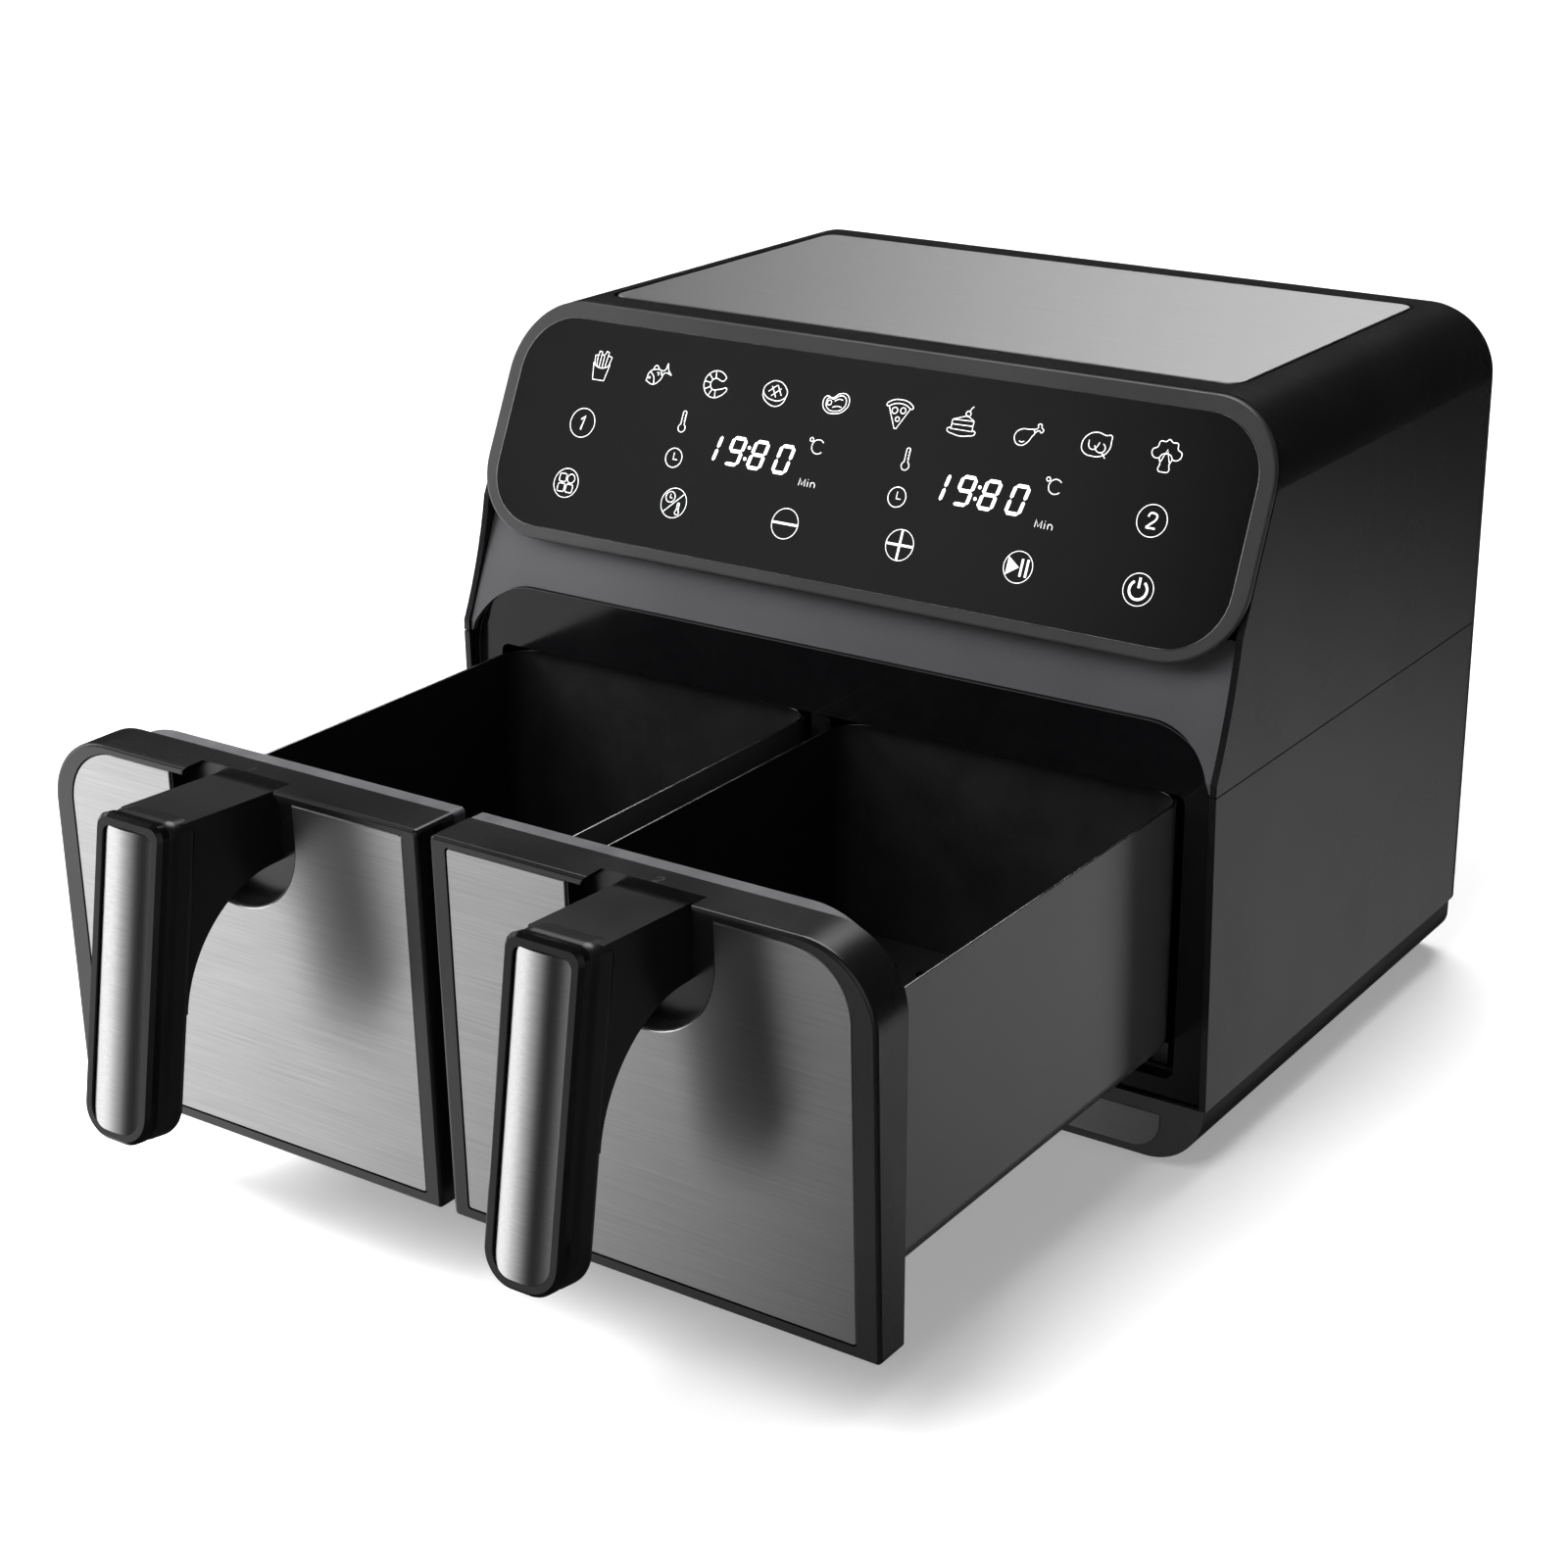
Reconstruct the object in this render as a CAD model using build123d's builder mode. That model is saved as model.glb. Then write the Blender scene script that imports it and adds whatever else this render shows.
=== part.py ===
from build123d import *

import os
from math import atan2, cos, radians, sin, tan

# Air fryer with two side-by-side drawers, stored with both drawers open.
# Millimetres, +Z up. The drawers pull out towards -Y. The origin is on the surface under the
# feet, midway across the width and midway along the length from handles to cord gland.
# Heights and depths below are counted from the lower shell's bottom front edge.
# Drawer pieces are given where they stand when shut, and DRAWER carries them out to rest.

# Housing
WIDTH = 390.0
DEPTH = 290.0
HEIGHT = 293.0
WALL = 3.0
SEAM = 142.0            # joint line between the upper and the lower shell
SEAM_GAP = 0.6
TOP_RADIUS = 33.0       # long top edges, seen from the front
REAR_RADIUS = 15.0      # upright back edges
TONGUE_HEIGHT = 6.0     # the lower shell's locating rim, inside the seam
TONGUE_RISE = 4.0
TRAY_HEIGHT = 27.6
TRAY_RADIUS = 26.0
TRAY_FRONT = 4.5
TRAY_REAR = 286.0
TRAY_WALL = 2.5
TRAY_HALF = 194.0
TRAY_REAR_RADIUS = 14.0
POST_X = (40.0, 140.0)  # screw posts that stand on the tray's floor
POST_Y = (60.0, 220.0)
POST_RADIUS = 5.0
POST_BORE = 2.2
STRIP_HALF = 174.0      # trim strip across the tray's front
STRIP_LOW = -24.0
STRIP_HIGH = -7.0
STRIP_RADIUS = 13.0
STRIP_DEPTH = 0.9
FOOT_HEIGHT = 3.4
FOOT_RADIUS = 9.0
FOOT_STEM = 3.0
FOOT_X = 150.0
FOOT_Y = (32.0, 258.0)
PLATE_HALF = 161.0      # steel plate let into the top
PLATE_FRONT = 75.0
PLATE_REAR = 262.0
PLATE_RADIUS = 7.0
PLATE_THICK = 1.8
PLATE_GAP = 2.0

# Front
FOOT_SETBACK = 4.3      # the lower shell's front edge leans back by this much at its foot
LEAN_START = 147.0      # the front edge stands upright below this height
LEAN_MIDDLE = (12.3, 180.5)
LEAN_END = (17.6, 204.0)
PANEL_TILT = 24.8       # control panel, degrees from upright
PANEL_FOOT = (18.5, 216.0)
PANEL_LOW = -27.0       # panel's lower and upper edges, along its own slope
PANEL_HIGH = 84.8
PANEL_RADIUS = 35.0
BEZEL_THICK = 4.0
BEZEL_SEAT = 4.15         # how far behind its face the shell carries it
GLASS_HALF = 188.0
GLASS_LOW = -21.5
GLASS_HIGH = 77.5
GLASS_RADIUS = 27.0
GLASS_THICK = 2.4
GLASS_LEDGE = 6.0       # how far the bezel reaches in under the glass
BOARD_BEHIND = 16.0
DISPLAYS = ((-51.5, 28.5), (66.0, 28.5))
COVE_FACE = 1.5
COVE_BACK = 3.0         # the cove's thickness where it stands upright
COVE_MIDDLE = (10.5, 169.0)
COVE_TOP = (24.0, 201.0)

# Drawer mouth
ARCH_FACE = 7.0
ARCH_THICK = 8.0
ARCH_HALF = 191.6
ARCH_TOP = 166.5
ARCH_RADIUS = 32.0
MOUTH_HALF = 178.0
MOUTH_LOW = 9.0
MOUTH_HIGH = 137.0
POST_HALF = 5.0

# Drawers: the right-hand one, measured from the centre line
OPEN = 235.0            # how far both drawers stand out at rest
DRAWER = -OPEN
FRONT_IN = 3.0
FRONT_OUT = 195.0
FRONT_LOW = 12.0
FRONT_HIGH = 170.0
FRONT_RADIUS = 30.0
FACE_TOP_Y = -22.0
FACE_LOW_Y = -16.0
FRONT_BACK = -0.5
LIP_BACK = 6.5
LIP_OUT = 189.5
LIP_RADIUS = 38.0
STEEL_IN = 10.5
STEEL_OUT = 185.0
STEEL_LOW = 17.0
STEEL_HIGH = 166.5
STEEL_RADIUS = 25.0
STEEL_THICK = 0.8
STEEL_BEVEL = 0.4
NOTCH_RADIUS = 32.0
NOTCH_HEIGHT = 149.0
NOTCH_DEPTH = 10.0
PAN_IN = 8.0
PAN_OUT = 174.5
PAN_FRONT = 8.0
PAN_REAR = 252.0
PAN_LOW = 20.0
PAN_HIGH = 133.0
PAN_RADIUS = 14.0
PAN_THICK = 1.2
PAN_FOOT_RADIUS = 8.0
CRISPER_Z = 34.0
CRISPER_THICK = 1.5
CRISPER_INSET = 3.5
CRISPER_PITCH = (17.0, 19.0)
CRISPER_HOLE = 3.6
CRISPER_SMALL_HOLE = 2.2
BUMPER_GAP = 0.3        # between a bumper and the pan's floor
BUMPER_SPAN = (130.0, 212.0)
ARM_THICK = 2.6         # cover's arm and hooks beside the pan: low, high and reach of each
ARM_LEVELS = ((119.0, 131.0, 20.0), (104.0, 107.0, 12.0), (91.0, 94.0, 12.0))

# Handles
HANDLE_X = 97.0
GRIP_TOP = (-74.0, 172.0)
GRIP_LOW = (-93.0, 46.0)
GRIP_WIDTH = 34.0
GRIP_DEPTH = 21.0
TRIM_THICK = 5.0
GRIP_TOP_RADIUS = 6.0
GRIP_LOW_RADIUS = 13.0
NECK_WIDTH = 32.0
STRIP_INSET = 4.6
STRIP_CROWN = 2.2
HANDLE_SCREWS = ((HANDLE_X - 9, 152.0), (HANDLE_X + 9, 152.0))
SCREW_HEAD = 3.8
SCREW_SINK = 1.8

# Cooking chambers
CHAMBER_IN = 3.5
CHAMBER_OUT = 180.5
CHAMBER_FRONT = 15.2
CHAMBER_REAR = 262.0
CHAMBER_LOW = 9.0
CHAMBER_HIGH = 197.0
HOOD_FRONT = 34.0
HOOD_LOW = 150.0
SHEET = 1.0
FAN_X = 92.0
FAN_Y = 150.0
HOT_FAN_RADIUS = 42.0
COOLING_FAN_RADIUS = 42.0
MOTOR_RADIUS = 27.0
MOTOR_LOW = 217.5
MOTOR_HIGH = 246.0
BRACKET_HALF = 64.0
HEATER_Z = 166.0
HEATER_WIRE = 3.2
HEATER_OUTER = 66.0
HEATER_INNER = 50.0
HEATER_LEGS = ((FAN_X, FAN_Y + HEATER_OUTER), (FAN_X, FAN_Y + HEATER_INNER))
GUARD_RINGS = (84.0, 66.0, 48.0, 30.0, 12.0)
GUARD_WIRE = 2.4
PROBE_X = 150.0
PROBE_Z = 158.0
CUTOUT_Y = 235.0
SHAFT_RADIUS = 3.0
RUNNING_GAP = 0.05

# Back
GLAND_X = 120.0
GLAND_Z = 30.0
GLAND_REACH = 12.0
GLAND_STEM = 8.0
GLAND_COLLAR = 11.0
GLAND_BORE = 3.6
VENT_HALF = 78.0
VENT_LOW = 168.0
VENT_HIGH = 248.0
VENT_SLOTS = 10

BASE = TRAY_HEIGHT + FOOT_HEIGHT
FRONT = (OPEN - GRIP_LOW[0] - DEPTH - GLAND_REACH) / 2
TRAY_POSTS = [(s * x, y) for s in (-1, 1) for x in POST_X for y in POST_Y]
FEET = [(s * FOOT_X, y) for y in FOOT_Y for s in (-1, 1)]


def side(x=0.0, y=0.0):
    """Side elevation: local x runs to the back and local y runs up, seen from the +X end."""
    return Plane(origin=(x, FRONT + y, BASE), x_dir=(0, 1, 0), z_dir=(1, 0, 0))


def facing(y=0.0):
    """Front elevation at depth y: local y runs up, and extruding comes forward."""
    return Plane(origin=(0, FRONT + y, BASE), x_dir=(1, 0, 0), z_dir=(0, -1, 0))


def level(z=0.0, y=0.0):
    """Plan at height z: local y runs to the back, and extruding goes up."""
    return Plane(origin=(0, FRONT + y, BASE + z), x_dir=(1, 0, 0), z_dir=(0, 0, 1))


def sloped(behind=0.0):
    """The control panel's own plane, moved behind its face: local y runs up the slope."""
    tilt = radians(PANEL_TILT)
    origin = (0, FRONT + PANEL_FOOT[0] + behind * cos(tilt), BASE + PANEL_FOOT[1] - behind * sin(tilt))
    return Plane(origin=origin, x_dir=(1, 0, 0), z_dir=(0, -cos(tilt), sin(tilt)))


SLOPE_OUT = Axis(sloped().origin, sloped().z_dir)


def drawer_face(behind=0.0):
    """The drawer front's face, which leans out towards its top. Local y is the height."""
    lean = atan2(FACE_LOW_Y - FACE_TOP_Y, FRONT_HIGH - FRONT_LOW)
    foot = FACE_LOW_Y + FRONT_LOW * tan(lean) + behind
    return Plane(origin=(0, FRONT + DRAWER + foot, BASE), x_dir=(1, 0, 0), z_dir=(0, -cos(lean), -sin(lean)))


def grip_face(behind=0.0):
    """The grip's front face, whose lower end stands further out. Its centre is the origin."""
    lean = atan2(GRIP_TOP[0] - GRIP_LOW[0], GRIP_TOP[1] - GRIP_LOW[1])
    mid_y = (GRIP_TOP[0] + GRIP_LOW[0]) / 2
    mid_z = (GRIP_TOP[1] + GRIP_LOW[1]) / 2
    origin = (
        HANDLE_X,
        FRONT + DRAWER + mid_y + behind * cos(lean),
        BASE + mid_z - behind * sin(lean),
    )
    return Plane(origin=origin, x_dir=(1, 0, 0), z_dir=(0, -cos(lean), sin(lean)))


GRIP_OUT = Axis(grip_face().origin, grip_face().z_dir)


def block(x0, x1, y0, y1, z0, z1, mode=Mode.ADD):
    """A plain block between two corners, added to the part being made."""
    with BuildSketch(level(z0)) as base:
        with Locations(((x0 + x1) / 2, (y0 + y1) / 2)):
            Rectangle(x1 - x0, y1 - y0)
    extrude(base.sketch, amount=z1 - z0, mode=mode)


def slab(x0, x1, z0, z1, radius):
    """A rounded rectangle between two corners of an elevation or plan, added to the sketch."""
    with Locations(((x0 + x1) / 2, (z0 + z1) / 2)):
        RectangleRounded(x1 - x0, z1 - z0, radius)


def write(name, part):
    part.label = name
    export_step(part, f"parts/{name}.step")


def write_pair(name, right):
    """Write the right-hand piece and its mirror image."""
    write(f"{name}_right", right)
    with BuildPart() as left:
        mirror(right, about=Plane.YZ)
    write(f"{name}_left", left.part)


# ---------------------------------------------------------------- shells


def make_upper_shell():
    low = SEAM + SEAM_GAP / 2
    tilt = radians(PANEL_TILT)
    lean_top = PANEL_FOOT[0] + BEZEL_SEAT / cos(tilt) + (HEIGHT - PANEL_FOOT[1]) * tan(tilt)
    with BuildPart() as shell:
        with BuildSketch(side(-WIDTH / 2)):
            with BuildLine():
                Polyline((lean_top, HEIGHT), (DEPTH, HEIGHT), (DEPTH, low), (0, low), (0, LEAN_START))
                ThreePointArc((0, LEAN_START), LEAN_MIDDLE, LEAN_END)
                Line(LEAN_END, (lean_top, HEIGHT))
            make_face()
        extrude(amount=WIDTH)
        with BuildSketch(facing(-OPEN)):
            RectangleRounded(WIDTH, 2 * HEIGHT, TOP_RADIUS)
        extrude(amount=-2 * OPEN - DEPTH, mode=Mode.INTERSECT)
        fillet(shell.edges().filter_by(Axis.Z).sort_by(Axis.Y)[-2:], REAR_RADIUS)
        add(make_inner_space(), mode=Mode.SUBTRACT)
        with BuildSketch(level(HEIGHT)):
            slab(
                -PLATE_HALF - PLATE_GAP,
                PLATE_HALF + PLATE_GAP,
                PLATE_FRONT - PLATE_GAP,
                PLATE_REAR + PLATE_GAP,
                PLATE_RADIUS + PLATE_GAP,
            )
        extrude(amount=-PLATE_THICK, mode=Mode.SUBTRACT)
        block(-VENT_HALF, VENT_HALF, DEPTH - 2 * WALL, DEPTH + 1, VENT_LOW, VENT_HIGH, Mode.SUBTRACT)
    return shell.part


def make_inner_space():
    """The hollow inside both shells, open to the front."""
    inner_half = WIDTH / 2 - WALL
    with BuildPart() as space:
        with BuildSketch(facing(DEPTH - WALL)):
            with Locations((0, -WALL / 2)):
                RectangleRounded(2 * inner_half, 2 * HEIGHT - WALL, TOP_RADIUS - WALL)
        extrude(amount=DEPTH + 40)
        upright = space.edges().filter_by(Axis.Z).sort_by(Axis.Y)[-2:]
        fillet(upright, REAR_RADIUS - WALL)
    return space.part


def make_lower_shell():
    high = SEAM - SEAM_GAP / 2
    half = WIDTH / 2
    with BuildPart() as shell:
        block(-half, half, -10, DEPTH, 0, high)
        fillet(shell.edges().filter_by(Axis.Z).sort_by(Axis.Y)[-2:], REAR_RADIUS)
        with BuildSketch(level(high - TONGUE_HEIGHT)):
            slab(-half + WALL + 0.1, half - WALL - 0.1, -10, DEPTH - WALL - 0.1, REAR_RADIUS - WALL)
        extrude(amount=TONGUE_HEIGHT + TONGUE_RISE)
        with BuildSketch(level(-1)):
            slab(-half + WALL + 1.6, half - WALL - 1.6, -80, DEPTH - WALL - 1.6, REAR_RADIUS - WALL - 1.5)
        extrude(amount=HEIGHT, mode=Mode.SUBTRACT)
        with BuildSketch(level(-1)):
            slab(-half + WALL, half - WALL, -80, DEPTH - WALL, REAR_RADIUS - WALL)
        extrude(amount=high - TONGUE_HEIGHT + 1, mode=Mode.SUBTRACT)
        with BuildSketch(side(-half - 1)):
            with BuildLine():
                Polyline(
                    (FOOT_SETBACK, -1),
                    (FOOT_SETBACK, 0),
                    (0, high),
                    (0, high + 20),
                    (-30, high + 20),
                    (-30, -1),
                    close=True,
                )
            make_face()
        extrude(amount=WIDTH + 2, mode=Mode.SUBTRACT)
        block(-half, half, -20, 16, high, high + 20, Mode.SUBTRACT)
        block(WALL - half, half - WALL, -20, 16, high - 8, high + 20, Mode.SUBTRACT)
        with BuildSketch(facing(DEPTH + 1)):
            with Locations((GLAND_X, GLAND_Z)):
                Circle(GLAND_STEM + 0.2)
        extrude(amount=-WALL - 3, both=True, mode=Mode.SUBTRACT)
    return shell.part


def tray_outline(inset):
    """Front elevation of the base tray with every edge but the top one moved in."""
    half = TRAY_HALF - inset
    low = -TRAY_HEIGHT + inset
    radius = TRAY_RADIUS - inset
    with BuildLine() as outline:
        Polyline((-half, low + radius), (-half, -0.2), (half, -0.2), (half, low + radius))
        RadiusArc((half, low + radius), (half - radius, low), radius)
        Line((half - radius, low), (radius - half, low))
        RadiusArc((radius - half, low), (-half, low + radius), radius)
    make_face(outline.edges())


def tray_block(inset):
    """The tray's outer form, with its rear corners rounded like the shells' and its faces moved in."""
    half = TRAY_HALF - inset
    front = TRAY_FRONT + inset
    rear = TRAY_REAR - inset
    radius = TRAY_REAR_RADIUS - inset
    with BuildPart() as form:
        with BuildSketch(facing(front)):
            tray_outline(inset)
        extrude(amount=front - rear)
        with BuildSketch(level(-BASE)):
            slab(-half, half, front - 2 * radius, rear, radius)
        extrude(amount=BASE, mode=Mode.INTERSECT)
    return form.part


def make_base_tray():
    floor = TRAY_WALL - TRAY_HEIGHT
    with BuildPart() as tray:
        add(tray_block(0))
        add(tray_block(TRAY_WALL), mode=Mode.SUBTRACT)
        block(-MOUTH_HALF, MOUTH_HALF, TRAY_FRONT + TRAY_WALL, TRAY_REAR - TRAY_WALL, -3, 3, Mode.SUBTRACT)
        with BuildSketch(level(floor)):
            with Locations(*TRAY_POSTS):
                Circle(POST_RADIUS)
        extrude(amount=CHAMBER_LOW - floor)
        with BuildSketch(level(-TRAY_HEIGHT - 1)):
            with Locations(*TRAY_POSTS):
                Circle(POST_BORE)
        extrude(amount=TRAY_HEIGHT + CHAMBER_LOW + 2, mode=Mode.SUBTRACT)
        with BuildSketch(level(-TRAY_HEIGHT - 1)):
            with Locations(*FEET):
                Circle(FOOT_STEM + 0.2)
        extrude(amount=TRAY_WALL + 2, mode=Mode.SUBTRACT)
        with BuildSketch(facing(TRAY_FRONT)):
            strip_outline(0.15)
        extrude(amount=-STRIP_DEPTH, mode=Mode.SUBTRACT)
    return tray.part


def strip_outline(grow):
    """Trim strip across the tray's front, with its lower corners rounded."""
    half = STRIP_HALF + grow
    high = STRIP_HIGH + grow
    low = STRIP_LOW - grow
    radius = STRIP_RADIUS + grow
    with BuildLine() as outline:
        Polyline((-half, low + radius), (-half, high), (half, high), (half, low + radius))
        RadiusArc((half, low + radius), (half - radius, low), radius)
        Line((half - radius, low), (radius - half, low))
        RadiusArc((radius - half, low), (-half, low + radius), radius)
    make_face(outline.edges())


def make_base_trim_strip():
    with BuildPart() as strip:
        with BuildSketch(facing(TRAY_FRONT + STRIP_DEPTH)):
            strip_outline(0)
        extrude(amount=STRIP_DEPTH + 0.2)
    return strip.part


def make_foot(x, y):
    with BuildPart() as foot:
        with BuildSketch(level(-BASE)):
            with Locations((x, y)):
                Circle(FOOT_RADIUS)
        extrude(amount=FOOT_HEIGHT)
        fillet(foot.edges().filter_by(GeomType.CIRCLE).sort_by(Axis.Z)[0], 0.8)
        with BuildSketch(level(-TRAY_HEIGHT)):
            with Locations((x, y)):
                Circle(FOOT_STEM)
        extrude(amount=TRAY_WALL + 1.5)
    return foot.part


def make_top_plate():
    with BuildPart() as plate:
        with BuildSketch(level(HEIGHT - PLATE_THICK)):
            slab(-PLATE_HALF, PLATE_HALF, PLATE_FRONT, PLATE_REAR, PLATE_RADIUS)
        extrude(amount=PLATE_THICK)
        chamfer(plate.faces().sort_by(Axis.Z)[-1].edges(), 0.4)
    return plate.part


def make_housing_screws():
    with BuildPart() as screws:
        with BuildSketch(level(-TRAY_HEIGHT - 2.2)):
            with Locations(*TRAY_POSTS):
                Circle(4)
        extrude(amount=2.2)
        with BuildSketch(level(-TRAY_HEIGHT)):
            with Locations(*TRAY_POSTS):
                Circle(2)
        extrude(amount=TRAY_HEIGHT + CHAMBER_LOW - 1)
        with BuildSketch(level(-TRAY_HEIGHT - 2.2)):
            with Locations(*TRAY_POSTS):
                Rectangle(4.4, 0.9)
                Rectangle(0.9, 4.4)
        extrude(amount=1.2, mode=Mode.SUBTRACT)
    return screws.part


# ---------------------------------------------------------------- control panel and cove


def make_control_bezel():
    half = WIDTH / 2
    with BuildPart() as bezel:
        with BuildSketch(sloped(BEZEL_THICK)):
            slab(-half, half, PANEL_LOW, PANEL_HIGH + 60, PANEL_RADIUS)
        extrude(amount=BEZEL_THICK)
        with BuildSketch(facing(-40)):
            RectangleRounded(WIDTH, 2 * HEIGHT, TOP_RADIUS)
        extrude(amount=-200, mode=Mode.INTERSECT)
        fillet(bezel.faces().sort_by(SLOPE_OUT)[-1].edges(), 1.2)
        with BuildSketch(sloped(BEZEL_THICK + 1)):
            slab(
                GLASS_LEDGE - GLASS_HALF,
                GLASS_HALF - GLASS_LEDGE,
                GLASS_LOW + GLASS_LEDGE,
                GLASS_HIGH - GLASS_LEDGE,
                GLASS_RADIUS - GLASS_LEDGE,
            )
        extrude(amount=BEZEL_THICK + 2, mode=Mode.SUBTRACT)
        with BuildSketch(sloped(GLASS_THICK + 0.1)):
            slab(-GLASS_HALF - 0.2, GLASS_HALF + 0.2, GLASS_LOW - 0.2, GLASS_HIGH + 0.2, GLASS_RADIUS)
        extrude(amount=GLASS_THICK + 2, mode=Mode.SUBTRACT)
    return bezel.part


def make_touch_glass():
    with BuildPart() as glass:
        with BuildSketch(sloped(GLASS_THICK + 0.1)):
            slab(-GLASS_HALF, GLASS_HALF, GLASS_LOW, GLASS_HIGH, GLASS_RADIUS)
        extrude(amount=GLASS_THICK)
        chamfer(glass.faces().sort_by(SLOPE_OUT)[-1].edges(), 0.3)
    return glass.part


def make_control_board():
    with BuildPart() as board:
        with BuildSketch(sloped(BOARD_BEHIND)):
            with Locations((0, 28)):
                Rectangle(350, 72)
        extrude(amount=1.6)
        with BuildSketch(sloped(BOARD_BEHIND)):
            with Locations((0, 28), (-90, 20), (90, 20)):
                Rectangle(16, 16)
        extrude(amount=-3)
        with BuildSketch(sloped(BOARD_BEHIND)):
            with Locations((-150, 10), (150, 10)):
                Rectangle(22, 9)
        extrude(amount=-7)
    return board.part


def make_display_modules():
    with BuildPart() as displays:
        with BuildSketch(sloped(BOARD_BEHIND - 1.7)):
            with Locations(*DISPLAYS):
                Rectangle(64, 24)
        extrude(amount=10.5)
    return displays.part


def make_cove_panel():
    """Concave strip between the control panel and the drawer mouth, reaching down round its corners."""
    half = WIDTH / 2 - WALL - 0.2
    back = COVE_FACE + COVE_BACK
    back_top = (COVE_TOP[0] + COVE_BACK, COVE_TOP[1] - 1)
    with BuildPart() as cove:
        with BuildSketch(side(-half)):
            with BuildLine():
                Line((COVE_FACE, SEAM + 0.5), (COVE_FACE, LEAN_START))
                ThreePointArc((COVE_FACE, LEAN_START), COVE_MIDDLE, COVE_TOP)
                Line(COVE_TOP, back_top)
                ThreePointArc(back_top, (COVE_MIDDLE[0] + COVE_BACK, COVE_MIDDLE[1] - 1), (back, LEAN_START))
                Line((back, LEAN_START), (back, SEAM + 0.5))
                Line((back, SEAM + 0.5), (COVE_FACE, SEAM + 0.5))
            make_face()
        extrude(amount=2 * half)
        with BuildSketch(facing(-20)):
            arch_outline(0.2)
        extrude(amount=-80, mode=Mode.SUBTRACT)
    return cove.part


def arch_outline(grow):
    """The drawer mouth's surround, seen from the front, with its upper corners rounded."""
    half = ARCH_HALF + grow
    high = ARCH_TOP + grow
    with BuildLine() as outline:
        Polyline((-half, high - ARCH_RADIUS), (-half, 0.5), (half, 0.5), (half, high - ARCH_RADIUS))
        RadiusArc((half, high - ARCH_RADIUS), (half - ARCH_RADIUS, high), -ARCH_RADIUS)
        Line((half - ARCH_RADIUS, high), (ARCH_RADIUS - half, high))
        RadiusArc((ARCH_RADIUS - half, high), (-half, high - ARCH_RADIUS), -ARCH_RADIUS)
    make_face(outline.edges())


def make_drawer_arch():
    with BuildPart() as arch:
        with BuildSketch(facing(ARCH_FACE)):
            arch_outline(0)
        extrude(amount=-ARCH_THICK)
        with BuildSketch(facing(ARCH_FACE - 1)):
            slab(-MOUTH_HALF, MOUTH_HALF, MOUTH_LOW, MOUTH_HIGH, 4)
        extrude(amount=-ARCH_THICK - 2, mode=Mode.SUBTRACT)
    return arch.part


def make_divider_post():
    with BuildPart() as post:
        block(-POST_HALF, POST_HALF, ARCH_FACE + 0.5, ARCH_FACE + ARCH_THICK, MOUTH_LOW, MOUTH_HIGH)
        chamfer(post.faces().sort_by(Axis.Y)[0].edges().filter_by(Axis.Z), 1.0)
    return post.part


# ---------------------------------------------------------------- cooking chambers


def chamber_profile(inset, front):
    """Side elevation of a chamber: a deep lower box for the pan, with the hot-air hood over it."""
    with BuildLine() as outline:
        Polyline(
            (front, CHAMBER_LOW + inset),
            (front, HOOD_LOW - inset),
            (HOOD_FRONT + inset, HOOD_LOW - inset),
            (HOOD_FRONT + inset, CHAMBER_HIGH - inset),
            (CHAMBER_REAR - inset, CHAMBER_HIGH - inset),
            (CHAMBER_REAR - inset, CHAMBER_LOW + inset),
            close=True,
        )
    make_face(outline.edges())


def make_chamber():
    with BuildPart() as chamber:
        with BuildSketch(side(CHAMBER_IN)):
            chamber_profile(0, CHAMBER_FRONT)
        extrude(amount=CHAMBER_OUT - CHAMBER_IN)
        with BuildSketch(side(CHAMBER_IN + SHEET)):
            chamber_profile(SHEET, CHAMBER_FRONT - 1)
        extrude(amount=CHAMBER_OUT - CHAMBER_IN - 2 * SHEET, mode=Mode.SUBTRACT)
        with BuildSketch(level(CHAMBER_HIGH + 1)):
            with Locations((FAN_X, FAN_Y)):
                Circle(12)
            with Locations(*HEATER_LEGS):
                Circle(4.2)
        extrude(amount=-2 - SHEET, mode=Mode.SUBTRACT)
        with BuildSketch(facing(CHAMBER_REAR + 1)):
            with Locations((PROBE_X, PROBE_Z)):
                Circle(2.2)
        extrude(amount=2 + SHEET, mode=Mode.SUBTRACT)
    return chamber.part


def make_heater():
    """Tubular element: two rings of one loop in a flat plane, its two ends rising through the hood."""
    mid = (HEATER_OUTER + HEATER_INNER) / 2
    turn = (HEATER_OUTER - HEATER_INNER) / 2
    with BuildPart() as heater:
        with BuildLine(level(HEATER_Z)) as route:
            CenterArc((FAN_X, FAN_Y), HEATER_OUTER, 90, 340)
            CenterArc((FAN_X, FAN_Y), HEATER_INNER, 90, 340)
            far_end = 90 + 340
            CenterArc(
                (FAN_X + mid * cos(radians(far_end)), FAN_Y + mid * sin(radians(far_end))),
                turn,
                far_end,
                180,
            )
        for edge in route.edges():
            with BuildSketch(Plane(origin=edge @ 0, z_dir=edge % 0)):
                Circle(HEATER_WIRE)
            sweep(path=edge)
        for x, y in HEATER_LEGS:
            with Locations((x, FRONT + y, BASE + HEATER_Z)):
                Sphere(HEATER_WIRE)
            with BuildSketch(level(HEATER_Z)):
                with Locations((x, y)):
                    Circle(HEATER_WIRE)
            extrude(amount=CHAMBER_HIGH + 8 - HEATER_Z)
    return heater.part


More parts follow.
